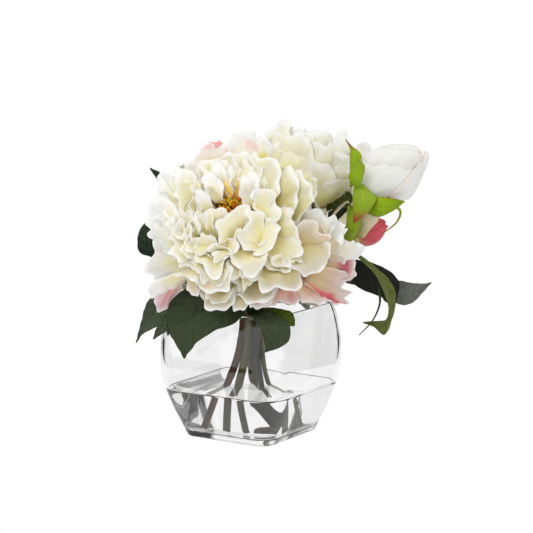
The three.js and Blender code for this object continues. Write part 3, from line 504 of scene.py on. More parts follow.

# petals whose rims are set point by point: piece, base, rim from one end to the other, manner; the darker, greyer or
# olive bodies and low tones given to petals that lie in shade are painted shade
TRACED = [
    ('front_whorl_4', [-21.4, 150.1, 92.0], [[-35.6, 173.2, 87.7], [-33.4, 174.7, 87.7], [-28.2, 176.2, 88.1], [-21.4, 175.4, 89.7], [-16.2, 172.4, 92.0], [-12.4, 170.1, 94.0]], dict(wb=6, amp=1.0, tone=0.5)),
    ('front_whorl_4', [-9.4, 148.5, 96.8], [[-27.1, 155.9, 99.5], [-24.9, 163.3, 97.6], [-19.8, 169.3, 95.6], [-13.9, 174.6, 94.0], [-8.0, 179.1, 92.0], [-1.3, 180.5, 92.8]], dict(wb=7, amp=0.9, tone=0.5)),
    ('front_whorl_4', [-25.1, 153.0, 91.6], [[-34.8, 168.7, 91.6], [-33.3, 172.4, 90.5], [-29.6, 172.4, 91.2], [-27.2, 167.1, 94.4]], dict(wb=3, amp=0.8, tone=0.4)),
    ('front_whorl_4', [3.9, 172.5, 86.9], [[-8.0, 182.2, 88.1], [-3.6, 186.7, 87.3], [2.4, 189.7, 86.5], [6.2, 186.6, 88.5], [9.1, 180.6, 92.0]], dict(wb=5, amp=0.9, tone=0.6)),
    ('front_whorl_4', [4.7, 167.9, 91.2], [[9.1, 189.5, 90.9], [12.9, 188.8, 91.6], [16.6, 185.7, 93.2], [21.0, 180.4, 95.6], [22.5, 174.4, 98.4], [22.5, 168.4, 100.3], [21.0, 161.7, 102.7]], dict(wb=9, amp=1.0, tone=0.7)),
    ('front_whorl_3', [4.0, 153.0, 97.2], [[21.0, 166.9, 101.9], [22.5, 161.7, 103.1], [22.4, 155.0, 105.1], [20.2, 148.4, 106.7], [16.5, 143.2, 107.4], [11.4, 138.8, 108.2]], dict(wb=9, amp=1.0, tone=0.8)),
    ('front_whorl_4', [8.4, 148.5, 101.5], [[1.0, 175.9, 97.2], [-3.4, 173.7, 97.6], [-4.2, 168.5, 99.9], [-4.1, 163.2, 102.7], [-7.1, 158.0, 104.3], [-10.7, 154.3, 105.1], [-12.2, 149.1, 105.9]], dict(wb=8, amp=0.8, tone=0.7)),
    ('front_whorl_4', [6.9, 173.9, 89.7], [[1.0, 175.3, 94.8], [4.7, 170.0, 98.0], [8.4, 167.0, 99.5], [11.4, 164.0, 100.7], [13.6, 158.8, 102.3]], dict(wb=5, amp=0.7, tone=0.6)),
    ('front_whorl_3', [11.4, 144.0, 99.9], [[0.3, 151.4, 105.1], [3.3, 148.4, 105.9], [7.0, 147.7, 105.9], [9.9, 149.9, 105.5], [12.1, 152.8, 104.7]], dict(wb=5, amp=0.8, tone=0.7)),
    ('front_whorl_3', [-18.3, 145.5, 97.6], [[-13.7, 150.6, 104.7], [-10.0, 149.1, 105.9], [-8.5, 145.4, 106.7], [-10.7, 141.0, 106.7], [-15.9, 138.1, 106.3]], dict(wb=5, amp=0.6, tone=0.8)),
    ('front_whorl_4', [-7.8, 148.4, 102.3], [[-12.2, 152.8, 105.5], [-11.5, 156.5, 104.7], [-8.5, 158.7, 104.3], [-4.8, 156.5, 105.5], [-4.1, 151.3, 107.0]], dict(wb=3, amp=0.5, tone=0.7)),
    ('front_whorl_4', [8.4, 183.1, 82.6], [[4.6, 192.8, 84.5], [8.4, 198.1, 81.8], [12.9, 194.3, 84.5], [14.4, 187.4, 88.5]], dict(wb=4, amp=0.8, tone=0.6)),
    ('front_whorl_4', [-2.1, 183.2, 79.4], [[-8.1, 189.1, 83.7], [-5.9, 196.7, 80.2], [-2.1, 198.2, 79.8], [0.9, 190.6, 84.1]], dict(wb=4, amp=0.9, tone=0.6)),
    ('front_whorl_3', [-3.4, 142.6, 99.5], [[-15.9, 138.1, 106.7], [-12.9, 132.2, 107.4], [-7.8, 126.3, 107.4], [-2.6, 121.9, 107.4], [2.5, 121.9, 107.4], [7.7, 125.6, 107.8], [11.4, 130.7, 108.2], [12.9, 136.6, 108.2]], dict(wb=11, amp=1.0, tone=0.8, roll=1.3)),
    ('front_whorl_2', [-2.0, 136.6, 98.4], [[-14.4, 130.7, 105.5], [-10.0, 125.5, 105.5], [-5.6, 121.9, 105.5], [-1.2, 118.9, 105.1], [4.0, 120.4, 105.5], [8.4, 123.3, 105.9]], dict(wb=9, amp=1.1, tone=0.6)),
    ('front_whorl_2', [2.5, 132.2, 97.2], [[-10.8, 121.1, 100.7], [-7.9, 117.4, 100.3], [-4.2, 112.9, 99.1], [-0.5, 115.2, 99.9], [2.5, 117.4, 100.7], [4.7, 121.1, 101.9]], dict(wb=7, amp=1.4, tone=0.15)),
    ('front_whorl_2', [-9.4, 133.7, 97.6], [[-18.2, 129.2, 103.1], [-16.0, 122.6, 102.7], [-11.5, 118.9, 102.7], [-7.1, 123.3, 104.3]], dict(wb=5, amp=1.0, tone=0.6)),
    ('front_whorl_2', [-25.8, 141.1, 94.0], [[-42.7, 138.9, 97.6], [-40.5, 132.2, 98.4], [-35.2, 129.2, 100.3], [-32.2, 124.1, 101.1], [-29.3, 119.6, 101.1], [-24.8, 119.6, 102.7], [-21.8, 121.1, 103.9], [-20.3, 126.3, 104.7], [-18.1, 132.2, 105.9]], dict(wb=8, amp=1.2, tone=0.6, roll=1.2)),
    ('front_whorl_2', [-33.3, 136.7, 91.2], [[-45.1, 133.7, 92.8], [-42.1, 128.5, 94.0], [-37.6, 124.0, 95.2], [-33.9, 119.6, 96.0], [-30.2, 116.6, 96.8]], dict(wb=6, amp=1.3, tone=0.4, blush=0.15)),
    ('front_whorl_2', [-27.3, 133.7, 92.0], [[-36.1, 121.1, 96.0], [-32.4, 116.6, 96.4], [-27.2, 113.7, 97.6], [-21.2, 114.4, 99.5], [-17.5, 117.4, 101.5], [-14.5, 123.3, 103.1]], dict(wb=8, amp=1.3, tone=0.4, blush=0.15)),
    ('front_whorl_3', [-18.3, 148.5, 98.0], [[-33.8, 141.1, 99.9], [-30.8, 144.0, 100.7], [-27.8, 147.7, 101.1], [-23.4, 149.2, 101.9], [-18.2, 149.9, 103.1]], dict(wb=4, amp=0.9, tone=0.7)),
    ('front_whorl_3', [-13.8, 144.0, 100.3], [[-33.0, 138.1, 100.3], [-27.8, 133.7, 102.3], [-21.8, 132.2, 103.9], [-16.6, 136.6, 105.1], [-15.9, 142.5, 104.7]], dict(wb=5, amp=1.0, tone=0.6)),
    ('front_whorl_3', [-34.8, 141.1, 90.5], [[-45.2, 153.0, 92.0], [-40.6, 153.7, 94.0], [-37.6, 155.2, 94.8], [-33.9, 158.2, 95.6], [-29.4, 156.7, 97.6], [-24.1, 152.9, 99.9]], dict(wb=8, amp=1.2, tone=0.45)),
    ('front_whorl_3', [-30.3, 150.0, 92.8], [[-42.8, 144.8, 95.2], [-39.8, 141.1, 96.8], [-35.3, 138.9, 99.1], [-30.8, 141.8, 100.3]], dict(wb=5, amp=0.9, tone=0.5)),
    ('front_whorl_2', [-36.4, 150.1, 86.9], [[-55.1, 152.4, 86.9], [-53.5, 147.1, 88.5], [-51.2, 141.9, 90.5], [-48.1, 137.4, 92.4], [-44.3, 134.4, 94.8], [-39.8, 132.2, 96.8]], dict(wb=8, amp=1.3, tone=0.45)),
    ('front_whorl_2', [-33.3, 147.1, 89.7], [[-50.4, 150.8, 91.6], [-48.1, 147.1, 93.6], [-45.8, 143.3, 95.2], [-42.0, 141.1, 97.2], [-38.2, 142.6, 98.8]], dict(wb=6, amp=1.0, tone=0.5)),
    ('front_whorl_1', [-39.5, 150.2, 82.6], [[-63.8, 157.0, 77.0], [-61.3, 150.2, 80.6], [-61.3, 144.2, 81.4], [-59.0, 138.2, 83.3], [-55.1, 133.0, 86.1], [-50.5, 130.0, 88.9]], dict(wb=10, amp=1.4, tone=0.4)),
    ('front_whorl_1', [-42.6, 157.7, 79.8], [[-68.2, 175.4, 64.0], [-65.6, 170.0, 70.3], [-63.9, 163.8, 74.7], [-61.4, 157.7, 79.0], [-57.5, 151.7, 83.7], [-52.8, 148.6, 87.7]], dict(wb=8, amp=1.1, tone=0.5)),
    ('front_whorl_1', [-38.0, 142.7, 84.5], [[-59.1, 135.2, 81.4], [-54.4, 131.5, 84.5], [-48.3, 129.2, 88.9], [-42.9, 127.7, 92.0], [-38.4, 123.3, 93.2]], dict(wb=9, amp=1.4, tone=0.4)),
    ('front_whorl_2', [14.4, 162.0, 92.4], [[23.3, 173.8, 95.6], [27.7, 174.5, 94.4], [31.4, 170.1, 95.6], [34.4, 164.1, 96.4], [36.6, 156.7, 97.6], [38.8, 148.5, 98.0], [40.3, 141.1, 97.6]], dict(wb=11, amp=1.0, tone=0.3)),
    ('front_whorl_2', [14.3, 148.5, 95.6], [[39.5, 145.5, 98.4], [37.3, 139.6, 99.5], [34.3, 133.7, 100.3], [29.1, 130.7, 101.9], [23.9, 130.0, 103.1]], dict(wb=9, amp=1.5, tone=0.35)),
    ('front_whorl_1', [11.4, 142.6, 95.2], [[37.3, 135.2, 97.2], [35.1, 129.2, 97.2], [29.9, 127.8, 99.1], [24.7, 126.3, 100.3], [18.8, 127.8, 101.9], [12.9, 130.0, 103.1]], dict(wb=9, amp=1.5, tone=0.35)),
    ('front_whorl_1', [8.4, 168.0, 87.3], [[22.5, 173.1, 94.4], [25.5, 175.3, 92.8], [29.2, 175.4, 92.0], [32.9, 168.6, 93.6], [36.6, 163.4, 94.0]], dict(wb=6, amp=1.0, tone=0.4)),
    ('front_whorl_2', [23.2, 136.6, 99.1], [[14.3, 137.3, 106.3], [17.3, 141.0, 105.9], [21.7, 141.8, 105.1], [23.9, 137.3, 104.7]], dict(wb=3, amp=0.7, tone=0.7)),
    ('front_whorl_2', [27.7, 133.7, 96.0], [[23.2, 129.2, 103.1], [26.9, 125.5, 101.5], [29.9, 131.5, 101.5], [30.6, 136.6, 101.9]], dict(wb=3, amp=0.9, tone=0.8)),
    ('front_whorl_1', [33.7, 138.1, 94.4], [[29.9, 133.7, 101.9], [34.3, 137.4, 100.7], [38.0, 133.7, 98.8]], dict(wb=3, amp=0.7, tone=0.8)),
    # front_petal_e rows: the pink is their own; the darker bodies are painted shade at the bottom of the bloom
    ('front_petal_e', [36.8, 118.7, 82.2], [[63.1, 102.6, 58.5], [55.4, 101.1, 63.2], [47.6, 101.3, 69.5], [39.2, 102.9, 75.8], [35.4, 107.5, 80.6]], dict(wb=8, amp=1.3, tone=0.45, pink=0.4, body=(226, 200, 182))),
    ('front_petal_e', [26.3, 117.3, 86.9], [[39.2, 106.7, 77.4], [35.4, 102.9, 77.4], [29.4, 100.7, 80.6], [23.3, 101.5, 83.7], [17.4, 100.8, 85.3]], dict(wb=9, amp=1.5, tone=0.45, pink=0.55, body=(208, 164, 150), lip=0.08)),
    ('front_petal_e', [14.4, 115.8, 91.2], [[24.8, 105.3, 85.3], [18.8, 101.6, 86.9], [11.4, 99.4, 88.5], [3.9, 99.4, 90.1]], dict(wb=9, amp=1.4, tone=0.3, pink=0.5, body=(204, 160, 140), lip=0.05)),
    ('front_whorl_2', [2.3, 174.4, 75.0], [[5.3, 209.9, 71.5], [9.9, 213.1, 67.9], [15.2, 213.2, 67.2], [19.7, 210.8, 68.7], [22.7, 205.3, 73.9], [24.1, 198.2, 79.4], [24.1, 190.5, 84.9], [21.1, 183.6, 89.7]], dict(wb=10, amp=0.7, body=(224, 214, 164), lip=0.15, roll=1.2)),
    ('front_whorl_1', [14.4, 166.7, 82.2], [[24.9, 206.0, 73.5], [28.7, 206.9, 71.1], [33.2, 203.8, 72.3], [37.0, 199.2, 74.7], [38.0, 191.4, 80.6], [36.8, 183.0, 86.5], [33.7, 175.4, 91.2], [29.9, 170.8, 94.4]], dict(wb=12, amp=0.6, body=(204, 190, 116), roll=0.9)),
    ('front_whorl_1', [24.9, 166.7, 81.8], [[36.3, 206.2, 69.9], [39.3, 203.1, 71.5], [43.0, 198.5, 73.5], [44.1, 193.8, 77.0], [47.4, 190.1, 77.8], [49.6, 184.7, 79.8], [46.5, 179.3, 84.9], [42.7, 174.7, 89.3]], dict(wb=11, amp=0.6, body=(206, 198, 140), roll=1.0)),
    # front_petal_a rows and the front_petal_e row among them: the greyer, darker bodies are painted shade on the right
    # of the bloom
    ('front_petal_a', [39.8, 141.2, 81.8], [[30.2, 170.5, 77.4], [33.9, 173.5, 78.2], [39.2, 175.8, 77.4], [45.3, 176.6, 74.3], [50.6, 175.6, 71.1], [55.2, 173.1, 67.9], [60.6, 172.8, 64.8], [63.8, 169.4, 61.6], [67.7, 163.8, 58.5], [72.0, 162.4, 55.3]], dict(wb=13, amp=0.6, body=(204, 186, 146), lip=0.24, roll=2.0)),
    ('front_petal_a', [52.0, 141.3, 75.0], [[65.3, 169.5, 60.0], [68.5, 163.9, 56.9], [72.4, 162.4, 53.7], [72.0, 159.0, 53.7], [69.7, 155.9, 55.3], [68.9, 152.0, 56.9]], dict(wb=8, amp=0.7, body=(228, 222, 210), lip=0.26)),
    ('front_petal_a', [39.8, 144.2, 84.9], [[32.1, 162.6, 96.4], [35.9, 165.6, 94.4], [41.1, 167.2, 91.6], [45.7, 165.7, 89.7], [49.4, 162.0, 88.5], [53.2, 158.3, 86.9], [57.8, 156.2, 83.7], [57.0, 151.6, 84.9], [53.1, 149.4, 88.1]], dict(wb=11, amp=0.5, body=(204, 184, 148), spots=[(0.5, 0.8, 0.5, 0.25, (214, 160, 140), 0.5)], lip=0.06)),
    ('front_petal_e', [36.7, 145.6, 88.1], [[28.4, 130.7, 103.5], [33.6, 127.0, 101.1], [38.0, 124.8, 98.8], [44.0, 123.3, 95.6], [49.3, 124.4, 92.8], [52.3, 127.7, 91.6], [57.6, 131.5, 88.5], [61.4, 135.9, 85.7], [61.0, 141.2, 86.5]], dict(wb=13, amp=0.6, roll=1.6, body=(202, 190, 154), lip=0.09)),
    ('front_petal_a', [47.3, 145.7, 83.0], [[58.1, 142.0, 71.1], [63.5, 140.5, 67.9], [67.4, 138.7, 64.8], [69.4, 142.9, 61.6], [69.9, 148.2, 60.0], [68.4, 152.8, 58.5]], dict(wb=9, amp=0.5, body=(192, 170, 132), lip=0.06)),
    ('front_petal_a', [53.5, 142.8, 75.8], [[61.4, 136.0, 63.2], [65.3, 133.4, 60.0], [70.0, 133.0, 56.9], [73.9, 135.3, 54.5], [74.4, 140.6, 52.9], [72.0, 146.0, 53.7]], dict(wb=8, amp=0.5, pink=0.12, body=(206, 178, 158), lip=0.07)),
    ('front_petal_b', [56.7, 144.3, 69.1], [[68.8, 152.2, 47.4], [74.2, 150.3, 47.4], [78.9, 148.8, 45.8], [84.3, 147.6, 44.2], [87.0, 143.0, 44.2], [85.1, 138.4, 44.2], [81.2, 135.7, 45.8], [75.7, 137.6, 47.4]], dict(wb=9, amp=0.8, body=(232, 229, 224), lip=0.12)),
    # front_petal_c and front_petal_d: the pink and rose spots are their own colour; the darker bodies are painted shade
    ('front_petal_c', [53.7, 133.7, 69.9], [[74.4, 140.0, 42.7], [78.7, 138.4, 41.1], [81.1, 133.8, 39.5], [82.3, 127.6, 37.9], [79.2, 123.0, 37.9], [75.7, 119.2, 39.5]], dict(wb=9, amp=0.6, body=(204, 172, 160), lip=0.05, spots=[(0, 0.52, 1.3, 0.26, (178, 74, 92), 0.9)])),
    ('front_petal_d', [42.8, 126.2, 81.4], [[77.6, 122.3, 39.5], [72.9, 117.6, 41.1], [70.2, 112.7, 42.7], [73.6, 110.0, 42.7], [77.1, 107.3, 42.7], [73.9, 105.0, 44.2], [76.2, 101.5, 44.2], [68.8, 101.6, 47.4]], dict(wb=9, amp=0.7, body=(206, 174, 162), lip=0.05, spots=[(0.85, 0.55, 0.4, 0.6, (212, 62, 86), 0.9)])),
    ('front_petal_d', [41.4, 121.7, 80.2], [[72.6, 103.9, 49.0], [66.4, 101.7, 52.1], [60.1, 102.9, 56.9], [53.9, 104.9, 61.6], [47.7, 108.0, 67.9]], dict(wb=7, amp=1.0, body=(214, 150, 150), pink=0.6, lip=0.08)),
    # front_petal_f: the darker olive body is painted shade on the bottom petals
    ('front_petal_f', [18.8, 133.7, 95.6], [[4.0, 120.4, 106.7], [6.2, 115.2, 105.1], [9.9, 112.3, 103.9], [14.3, 111.1, 103.1], [18.8, 112.2, 102.7], [22.5, 113.7, 102.3], [26.9, 112.6, 100.7], [31.4, 111.1, 98.8], [35.8, 112.2, 97.6], [39.6, 115.9, 97.2], [38.8, 121.1, 99.1], [33.2, 127.4, 102.7]], dict(wb=13, amp=0.6, roll=1.8, body=(192, 178, 126), lip=0.11, spots=[(0.9, 0.85, 0.3, 0.4, (244, 244, 238), 0.85)])),
    ('front_whorl_3', [-16.8, 142.6, 97.6], [[-33.7, 144.0, 100.7], [-30.8, 147.7, 101.1], [-26.3, 148.4, 102.3], [-21.8, 146.2, 103.9], [-18.9, 141.0, 105.1]], dict(wb=5, amp=0.9, tone=0.5)),
    ('front_whorl_3', [-25.7, 138.1, 95.2], [[-34.5, 143.3, 99.5], [-32.3, 138.1, 100.7], [-28.5, 135.1, 101.9], [-24.1, 137.4, 103.5]], dict(wb=5, amp=0.9, tone=0.5)),
    # front_petal_f and front_petal_g rows and the whorl rows under them: dark olive bodies and low tones are painted
    # shade on the bottom of the bloom
    ('front_petal_f', [2.5, 123.3, 94.0], [[-12.4, 104.7, 95.2], [-10.1, 108.5, 97.2], [-7.2, 106.2, 96.8], [-3.5, 103.3, 95.6], [1.7, 102.5, 95.2], [7.7, 103.3, 95.6], [12.9, 106.2, 96.4], [18.0, 110.0, 97.2], [21.0, 112.9, 97.6]], dict(wb=12, amp=1.4, tone=0.1, roll=2.2, body=(150, 130, 66))),
    ('front_petal_g', [-25.9, 120.3, 88.1], [[-40.1, 112.1, 88.5], [-37.1, 108.3, 88.5], [-34.9, 103.8, 87.3], [-30.4, 99.4, 86.5], [-25.2, 97.1, 87.3], [-19.2, 97.2, 89.3], [-14.7, 99.5, 92.0], [-11.6, 103.2, 94.8]], dict(wb=12, amp=1.4, tone=0.15, roll=2.2, body=(168, 154, 104))),
    ('front_petal_h', [-31.8, 130.7, 89.7], [[-57.4, 121.0, 84.9], [-52.0, 121.0, 88.9], [-46.6, 121.8, 92.8], [-41.3, 121.1, 95.6], [-37.6, 117.4, 96.4], [-35.4, 112.9, 96.0], [-30.9, 109.2, 96.4], [-25.7, 108.5, 98.0], [-19.7, 109.3, 99.9], [-15.2, 111.5, 101.9], [-13.0, 115.9, 103.9], [-11.5, 121.1, 105.1]], dict(wb=13, amp=1.1, tone=0.35, roll=2.2, body=(216, 204, 160), spots=[(-0.1, 0.55, 0.35, 0.22, (226, 150, 96), 0.55)])),
    ('front_petal_h', [-37.9, 123.2, 86.1], [[-48.4, 118.8, 86.1], [-47.7, 112.8, 84.1], [-45.5, 108.3, 83.3], [-40.9, 107.6, 86.1], [-37.8, 112.8, 90.1]], dict(wb=5, amp=1.0, tone=0.3, body=(222, 206, 176))),
    ('front_petal_g', [-21.4, 114.3, 91.6], [[-31.8, 108.4, 91.2], [-27.3, 103.9, 90.9], [-21.4, 102.4, 92.0], [-16.1, 105.5, 94.8], [-13.1, 110.0, 97.6]], dict(wb=8, amp=1.4, tone=0.15, body=(196, 182, 132))),
    ('front_petal_f', [-8.0, 118.8, 90.5], [[-17.6, 106.2, 92.4], [-14.7, 101.7, 90.5], [-10.2, 98.7, 89.3], [-5.8, 98.7, 90.1], [-2.0, 102.5, 92.4]], dict(wb=8, amp=1.2, tone=0.1, body=(178, 164, 104))),
    ('front_petal_f', [8.4, 120.3, 91.2], [[-3.5, 103.2, 92.8], [1.0, 99.4, 90.9], [6.9, 98.7, 89.7], [12.9, 100.9, 90.5], [17.3, 105.4, 92.4]], dict(wb=9, amp=1.2, tone=0.1, body=(190, 172, 128))),
    ('front_whorl_2', [-7.9, 126.3, 94.4], [[-16.8, 118.9, 98.0], [-12.3, 114.4, 97.2], [-7.9, 111.4, 96.8], [-3.4, 112.9, 97.6]], dict(wb=6, amp=1.2, tone=0.2, body=(206, 196, 130))),
    ('front_whorl_1', [-18.4, 117.3, 89.3], [[-28.8, 111.4, 90.9], [-22.9, 106.1, 90.5], [-16.1, 106.9, 92.4], [-10.1, 112.2, 96.0]], dict(wb=7, amp=1.2, tone=0.2, body=(206, 196, 140))),
    ('front_petal_i', [-50.3, 126.2, 74.7], [[-80.3, 112.2, 39.5], [-78.8, 108.4, 39.5], [-74.8, 105.3, 41.1], [-69.3, 104.6, 44.2], [-63.7, 107.0, 49.0], [-56.5, 111.7, 55.3]], dict(wb=8, amp=1.4, tone=0.7, body=(236, 232, 224), pink=0.1)),
    ('front_petal_i', [-52.1, 121.7, 68.3], [[-75.8, 103.0, 37.9], [-73.5, 97.6, 37.9], [-69.6, 94.5, 37.9], [-65.6, 95.3, 41.1], [-62.3, 101.6, 45.8], [-56.6, 107.0, 52.1]], dict(wb=7, amp=1.2, tone=0.4, pink=0.6, body=(214, 172, 180))),
    # front_petal_j: the greyish body is painted shade on the left of the bloom
    ('front_petal_j', [-50.2, 138.2, 77.8], [[-76.5, 153.6, 52.1], [-78.1, 147.5, 50.6], [-75.0, 141.4, 50.6], [-79.0, 133.8, 49.0], [-79.7, 128.4, 49.0], [-75.1, 123.8, 49.0], [-69.7, 120.0, 50.6], [-64.1, 117.0, 55.3], [-59.2, 123.1, 63.2]], dict(wb=12, amp=1.2, tone=0.25, body=(216, 214, 203))),
    ('front_petal_j', [-48.7, 147.2, 79.4], [[-80.5, 163.6, 49.0], [-79.7, 157.5, 49.0], [-75.7, 152.1, 52.1], [-70.8, 145.9, 58.5], [-65.9, 139.8, 64.8]], dict(wb=9, amp=1.4, tone=0.5, body=(234, 234, 228))),
    ('front_petal_i', [-48.6, 132.2, 79.8], [[-64.8, 117.0, 56.9], [-60.8, 117.1, 61.6], [-56.0, 119.4, 66.4], [-51.2, 120.9, 71.1]], dict(wb=6, amp=1.2, tone=0.5, body=(226, 222, 206))),
    ('front_petal_k', [-48.8, 162.3, 74.7], [[-69.2, 187.5, 45.8], [-73.9, 185.2, 44.2], [-76.2, 181.4, 44.2], [-76.9, 175.2, 45.8], [-79.1, 169.0, 47.4], [-79.7, 162.9, 49.0]], dict(wb=11, amp=1.2, tone=0.45, body=(234, 233, 226))),
    ('front_petal_k', [-48.8, 160.8, 75.8], [[-69.3, 184.0, 58.5], [-73.2, 179.5, 56.9], [-74.7, 171.8, 56.9], [-72.2, 162.6, 60.0], [-67.3, 154.9, 66.4]], dict(wb=9, amp=1.2, tone=0.5, body=(238, 236, 226))),
    ('front_petal_l', [-46.1, 176.1, 67.2], [[-67.0, 187.5, 44.2], [-71.0, 195.4, 41.1], [-72.6, 201.6, 39.5], [-70.4, 206.3, 37.9], [-65.0, 208.7, 36.3], [-58.1, 209.5, 36.3], [-49.6, 207.8, 37.9]], dict(wb=12, amp=1.2, body=(248, 247, 240))),
    ('front_petal_l', [-44.5, 176.1, 68.7], [[-57.1, 174.8, 58.5], [-60.4, 184.1, 53.7], [-64.4, 193.5, 49.0], [-67.7, 202.1, 44.2], [-64.0, 204.5, 42.7], [-57.0, 202.9, 44.2]], dict(wb=9, amp=1.0, body=(242, 238, 216))),
    ('front_petal_l', [-41.7, 183.8, 63.6], [[-57.5, 199.6, 49.0], [-54.6, 204.4, 45.0], [-48.2, 205.6, 52.9], [-42.5, 202.0, 63.2]], dict(wb=8, amp=1.0, body=(240, 236, 210))),
    ('front_petal_m', [-22.1, 197.6, 60.0], [[-45.2, 215.1, 31.6], [-41.3, 221.4, 30.0], [-35.9, 223.7, 30.0], [-29.7, 224.5, 30.0], [-23.5, 223.6, 31.6], [-17.3, 225.2, 31.6], [-11.1, 226.8, 30.0]], dict(wb=12, amp=1.4, body=(234, 218, 202), spots=[(-0.2, 0.9, 0.35, 0.22, (240, 146, 136), 0.75), (0.7, 0.7, 0.3, 0.4, (244, 176, 160), 0.6)])),
    ('front_petal_m', [-26.6, 194.4, 62.8], [[-51.8, 204.7, 39.5], [-50.3, 210.1, 39.5], [-45.6, 212.4, 39.5], [-40.2, 209.3, 39.5]], dict(wb=7, amp=0.6, body=(238, 226, 212))),
    ('front_petal_m', [-26.8, 199.5, 51.7], [[-36.1, 224.1, 23.7], [-33.0, 227.3, 22.1], [-27.6, 228.9, 22.1], [-23.7, 231.2, 22.1], [-22.1, 227.2, 23.7]], dict(wb=6, amp=1.2, body=(240, 170, 156), spots=[(0, 0.8, 1, 0.3, (236, 110, 104), 0.8)], lip=0.04)),
    ('front_petal_m', [-11.4, 197.4, 63.6], [[-13.5, 223.8, 28.4], [-8.8, 227.0, 26.9], [-2.6, 227.0, 26.9], [3.6, 224.6, 28.4], [8.3, 220.5, 31.6]], dict(wb=10, amp=1.3, body=(238, 228, 210), spots=[(0.1, 0.8, 0.5, 0.25, (244, 180, 170), 0.5)])),
    ('front_petal_n', [-3.8, 194.3, 66.8], [[-17.4, 223.3, 23.7], [-14.4, 232.9, 20.5], [-10.5, 235.7, 19.0], [-5.0, 235.7, 19.0], [0.4, 235.3, 19.0], [4.3, 230.4, 22.1], [9.0, 223.1, 26.9]], dict(wb=10, amp=0.8, body=(240, 237, 230), spots=[(0.3, 0.55, 0.5, 0.2, (246, 190, 186), 0.6)])),
    ('front_petal_n', [3.8, 194.2, 68.7], [[-1.1, 222.4, 26.9], [3.6, 228.8, 23.7], [8.2, 231.2, 22.1], [12.9, 228.0, 23.7], [17.6, 220.7, 28.4]], dict(wb=9, amp=0.9, body=(238, 234, 220))),
    ('front_petal_n', [8.3, 195.8, 66.8], [[6.7, 219.9, 30.0], [12.9, 223.1, 26.9], [19.9, 222.5, 25.3], [26.1, 219.3, 26.9], [29.9, 214.3, 31.6]], dict(wb=10, amp=1.4, tone=0.45)),
    ('front_petal_n', [20.4, 191.1, 70.3], [[25.3, 217.7, 26.9], [31.6, 217.8, 25.3], [38.6, 214.7, 25.3], [44.7, 208.2, 30.0], [48.4, 200.2, 36.3]], dict(wb=10, amp=1.4, tone=0.4)),
    ('front_petal_n', [30.9, 180.3, 76.6], [[40.8, 209.6, 33.2], [44.6, 206.5, 33.2], [47.7, 201.8, 34.8], [49.9, 196.3, 37.9], [49.8, 189.9, 42.7]], dict(wb=9, amp=1.2, tone=0.3)),
    ('front_whorl_1', [-0.7, 180.5, 70.7], [[-0.8, 216.3, 65.2], [3.8, 218.8, 62.0], [9.1, 216.3, 64.8], [12.9, 212.3, 69.5], [17.4, 210.7, 70.3], [24.2, 207.6, 71.9]], dict(wb=10, amp=1.1, tone=0.3)),
    ('front_whorl_2', [-8.3, 183.6, 67.9], [[-19.7, 211.0, 64.8], [-14.4, 213.4, 63.6], [-8.3, 212.5, 66.0], [-2.3, 214.0, 65.2], [3.8, 210.8, 69.1], [8.4, 205.3, 74.3]], dict(wb=10, amp=1.2, tone=0.15)),
    ('front_whorl_2', [-23.5, 180.7, 66.0], [[-35.5, 198.7, 69.1], [-33.3, 203.4, 66.0], [-28.8, 208.1, 63.2], [-23.5, 208.7, 65.2], [-16.7, 211.0, 64.8]], dict(wb=8, amp=1.1, tone=0.2)),
    ('front_whorl_1', [-17.4, 183.7, 66.0], [[-41.8, 205.1, 61.2], [-38.9, 210.7, 55.7], [-32.8, 213.8, 56.1], [-25.9, 214.3, 59.6], [-19.0, 214.2, 62.8], [-11.4, 215.7, 63.2]], dict(wb=11, amp=1.2, tone=0.2, blush=0.25)),
    ('front_whorl_1', [-14.3, 183.6, 68.7], [[-25.2, 217.6, 56.1], [-19.1, 219.1, 56.9], [-11.4, 218.1, 61.2], [-3.8, 220.5, 58.9], [2.3, 218.8, 62.0]], dict(wb=10, amp=1.3, tone=0.3, blush=0.25)),
    ('front_whorl_3', [-27.9, 174.5, 70.3], [[-38.1, 181.7, 80.6], [-37.5, 188.6, 76.6], [-35.3, 194.0, 73.9], [-31.6, 197.0, 73.1], [-27.0, 196.9, 75.0]], dict(wb=6, amp=1.0, tone=0.3)),
    ('front_whorl_2', [-30.9, 170.0, 71.1], [[-44.0, 170.4, 84.1], [-46.4, 177.2, 79.4], [-45.8, 184.9, 75.4], [-42.9, 192.6, 71.5], [-39.2, 197.9, 69.5], [-35.5, 201.0, 68.7]], dict(wb=9, amp=1.1, tone=0.2)),
    ('front_whorl_1', [-32.4, 168.4, 71.1], [[-53.9, 169.7, 79.0], [-56.5, 177.4, 72.7], [-58.3, 185.2, 65.6], [-57.8, 193.1, 58.9], [-54.2, 200.1, 54.5], [-48.0, 203.8, 56.9]], dict(wb=10, amp=1.1, tone=0.3)),
    ('front_whorl_3', [-26.2, 169.8, 76.6], [[-37.8, 162.0, 90.9], [-41.6, 166.5, 87.3], [-43.2, 172.6, 84.1], [-41.1, 178.6, 82.2], [-38.1, 180.9, 82.2]], dict(wb=6, amp=1.0, tone=0.45)),
    ('front_whorl_4', [-18.7, 180.4, 74.7], [[-28.4, 184.7, 79.8], [-27.7, 189.3, 77.4], [-23.9, 190.1, 77.8], [-19.4, 187.7, 79.8], [-17.8, 183.1, 83.0]], dict(wb=4, amp=0.7, tone=0.5)),
    ('front_whorl_4', [-21.8, 182.0, 71.5], [[-36.9, 200.1, 72.3], [-37.3, 204.8, 67.2], [-35.2, 209.5, 62.0], [-31.6, 204.9, 68.3], [-28.7, 209.4, 64.0], [-25.5, 206.3, 67.5], [-24.5, 201.6, 71.5]], dict(wb=4.5, amp=1.9, body=(252, 246, 218), roll=1.4)),
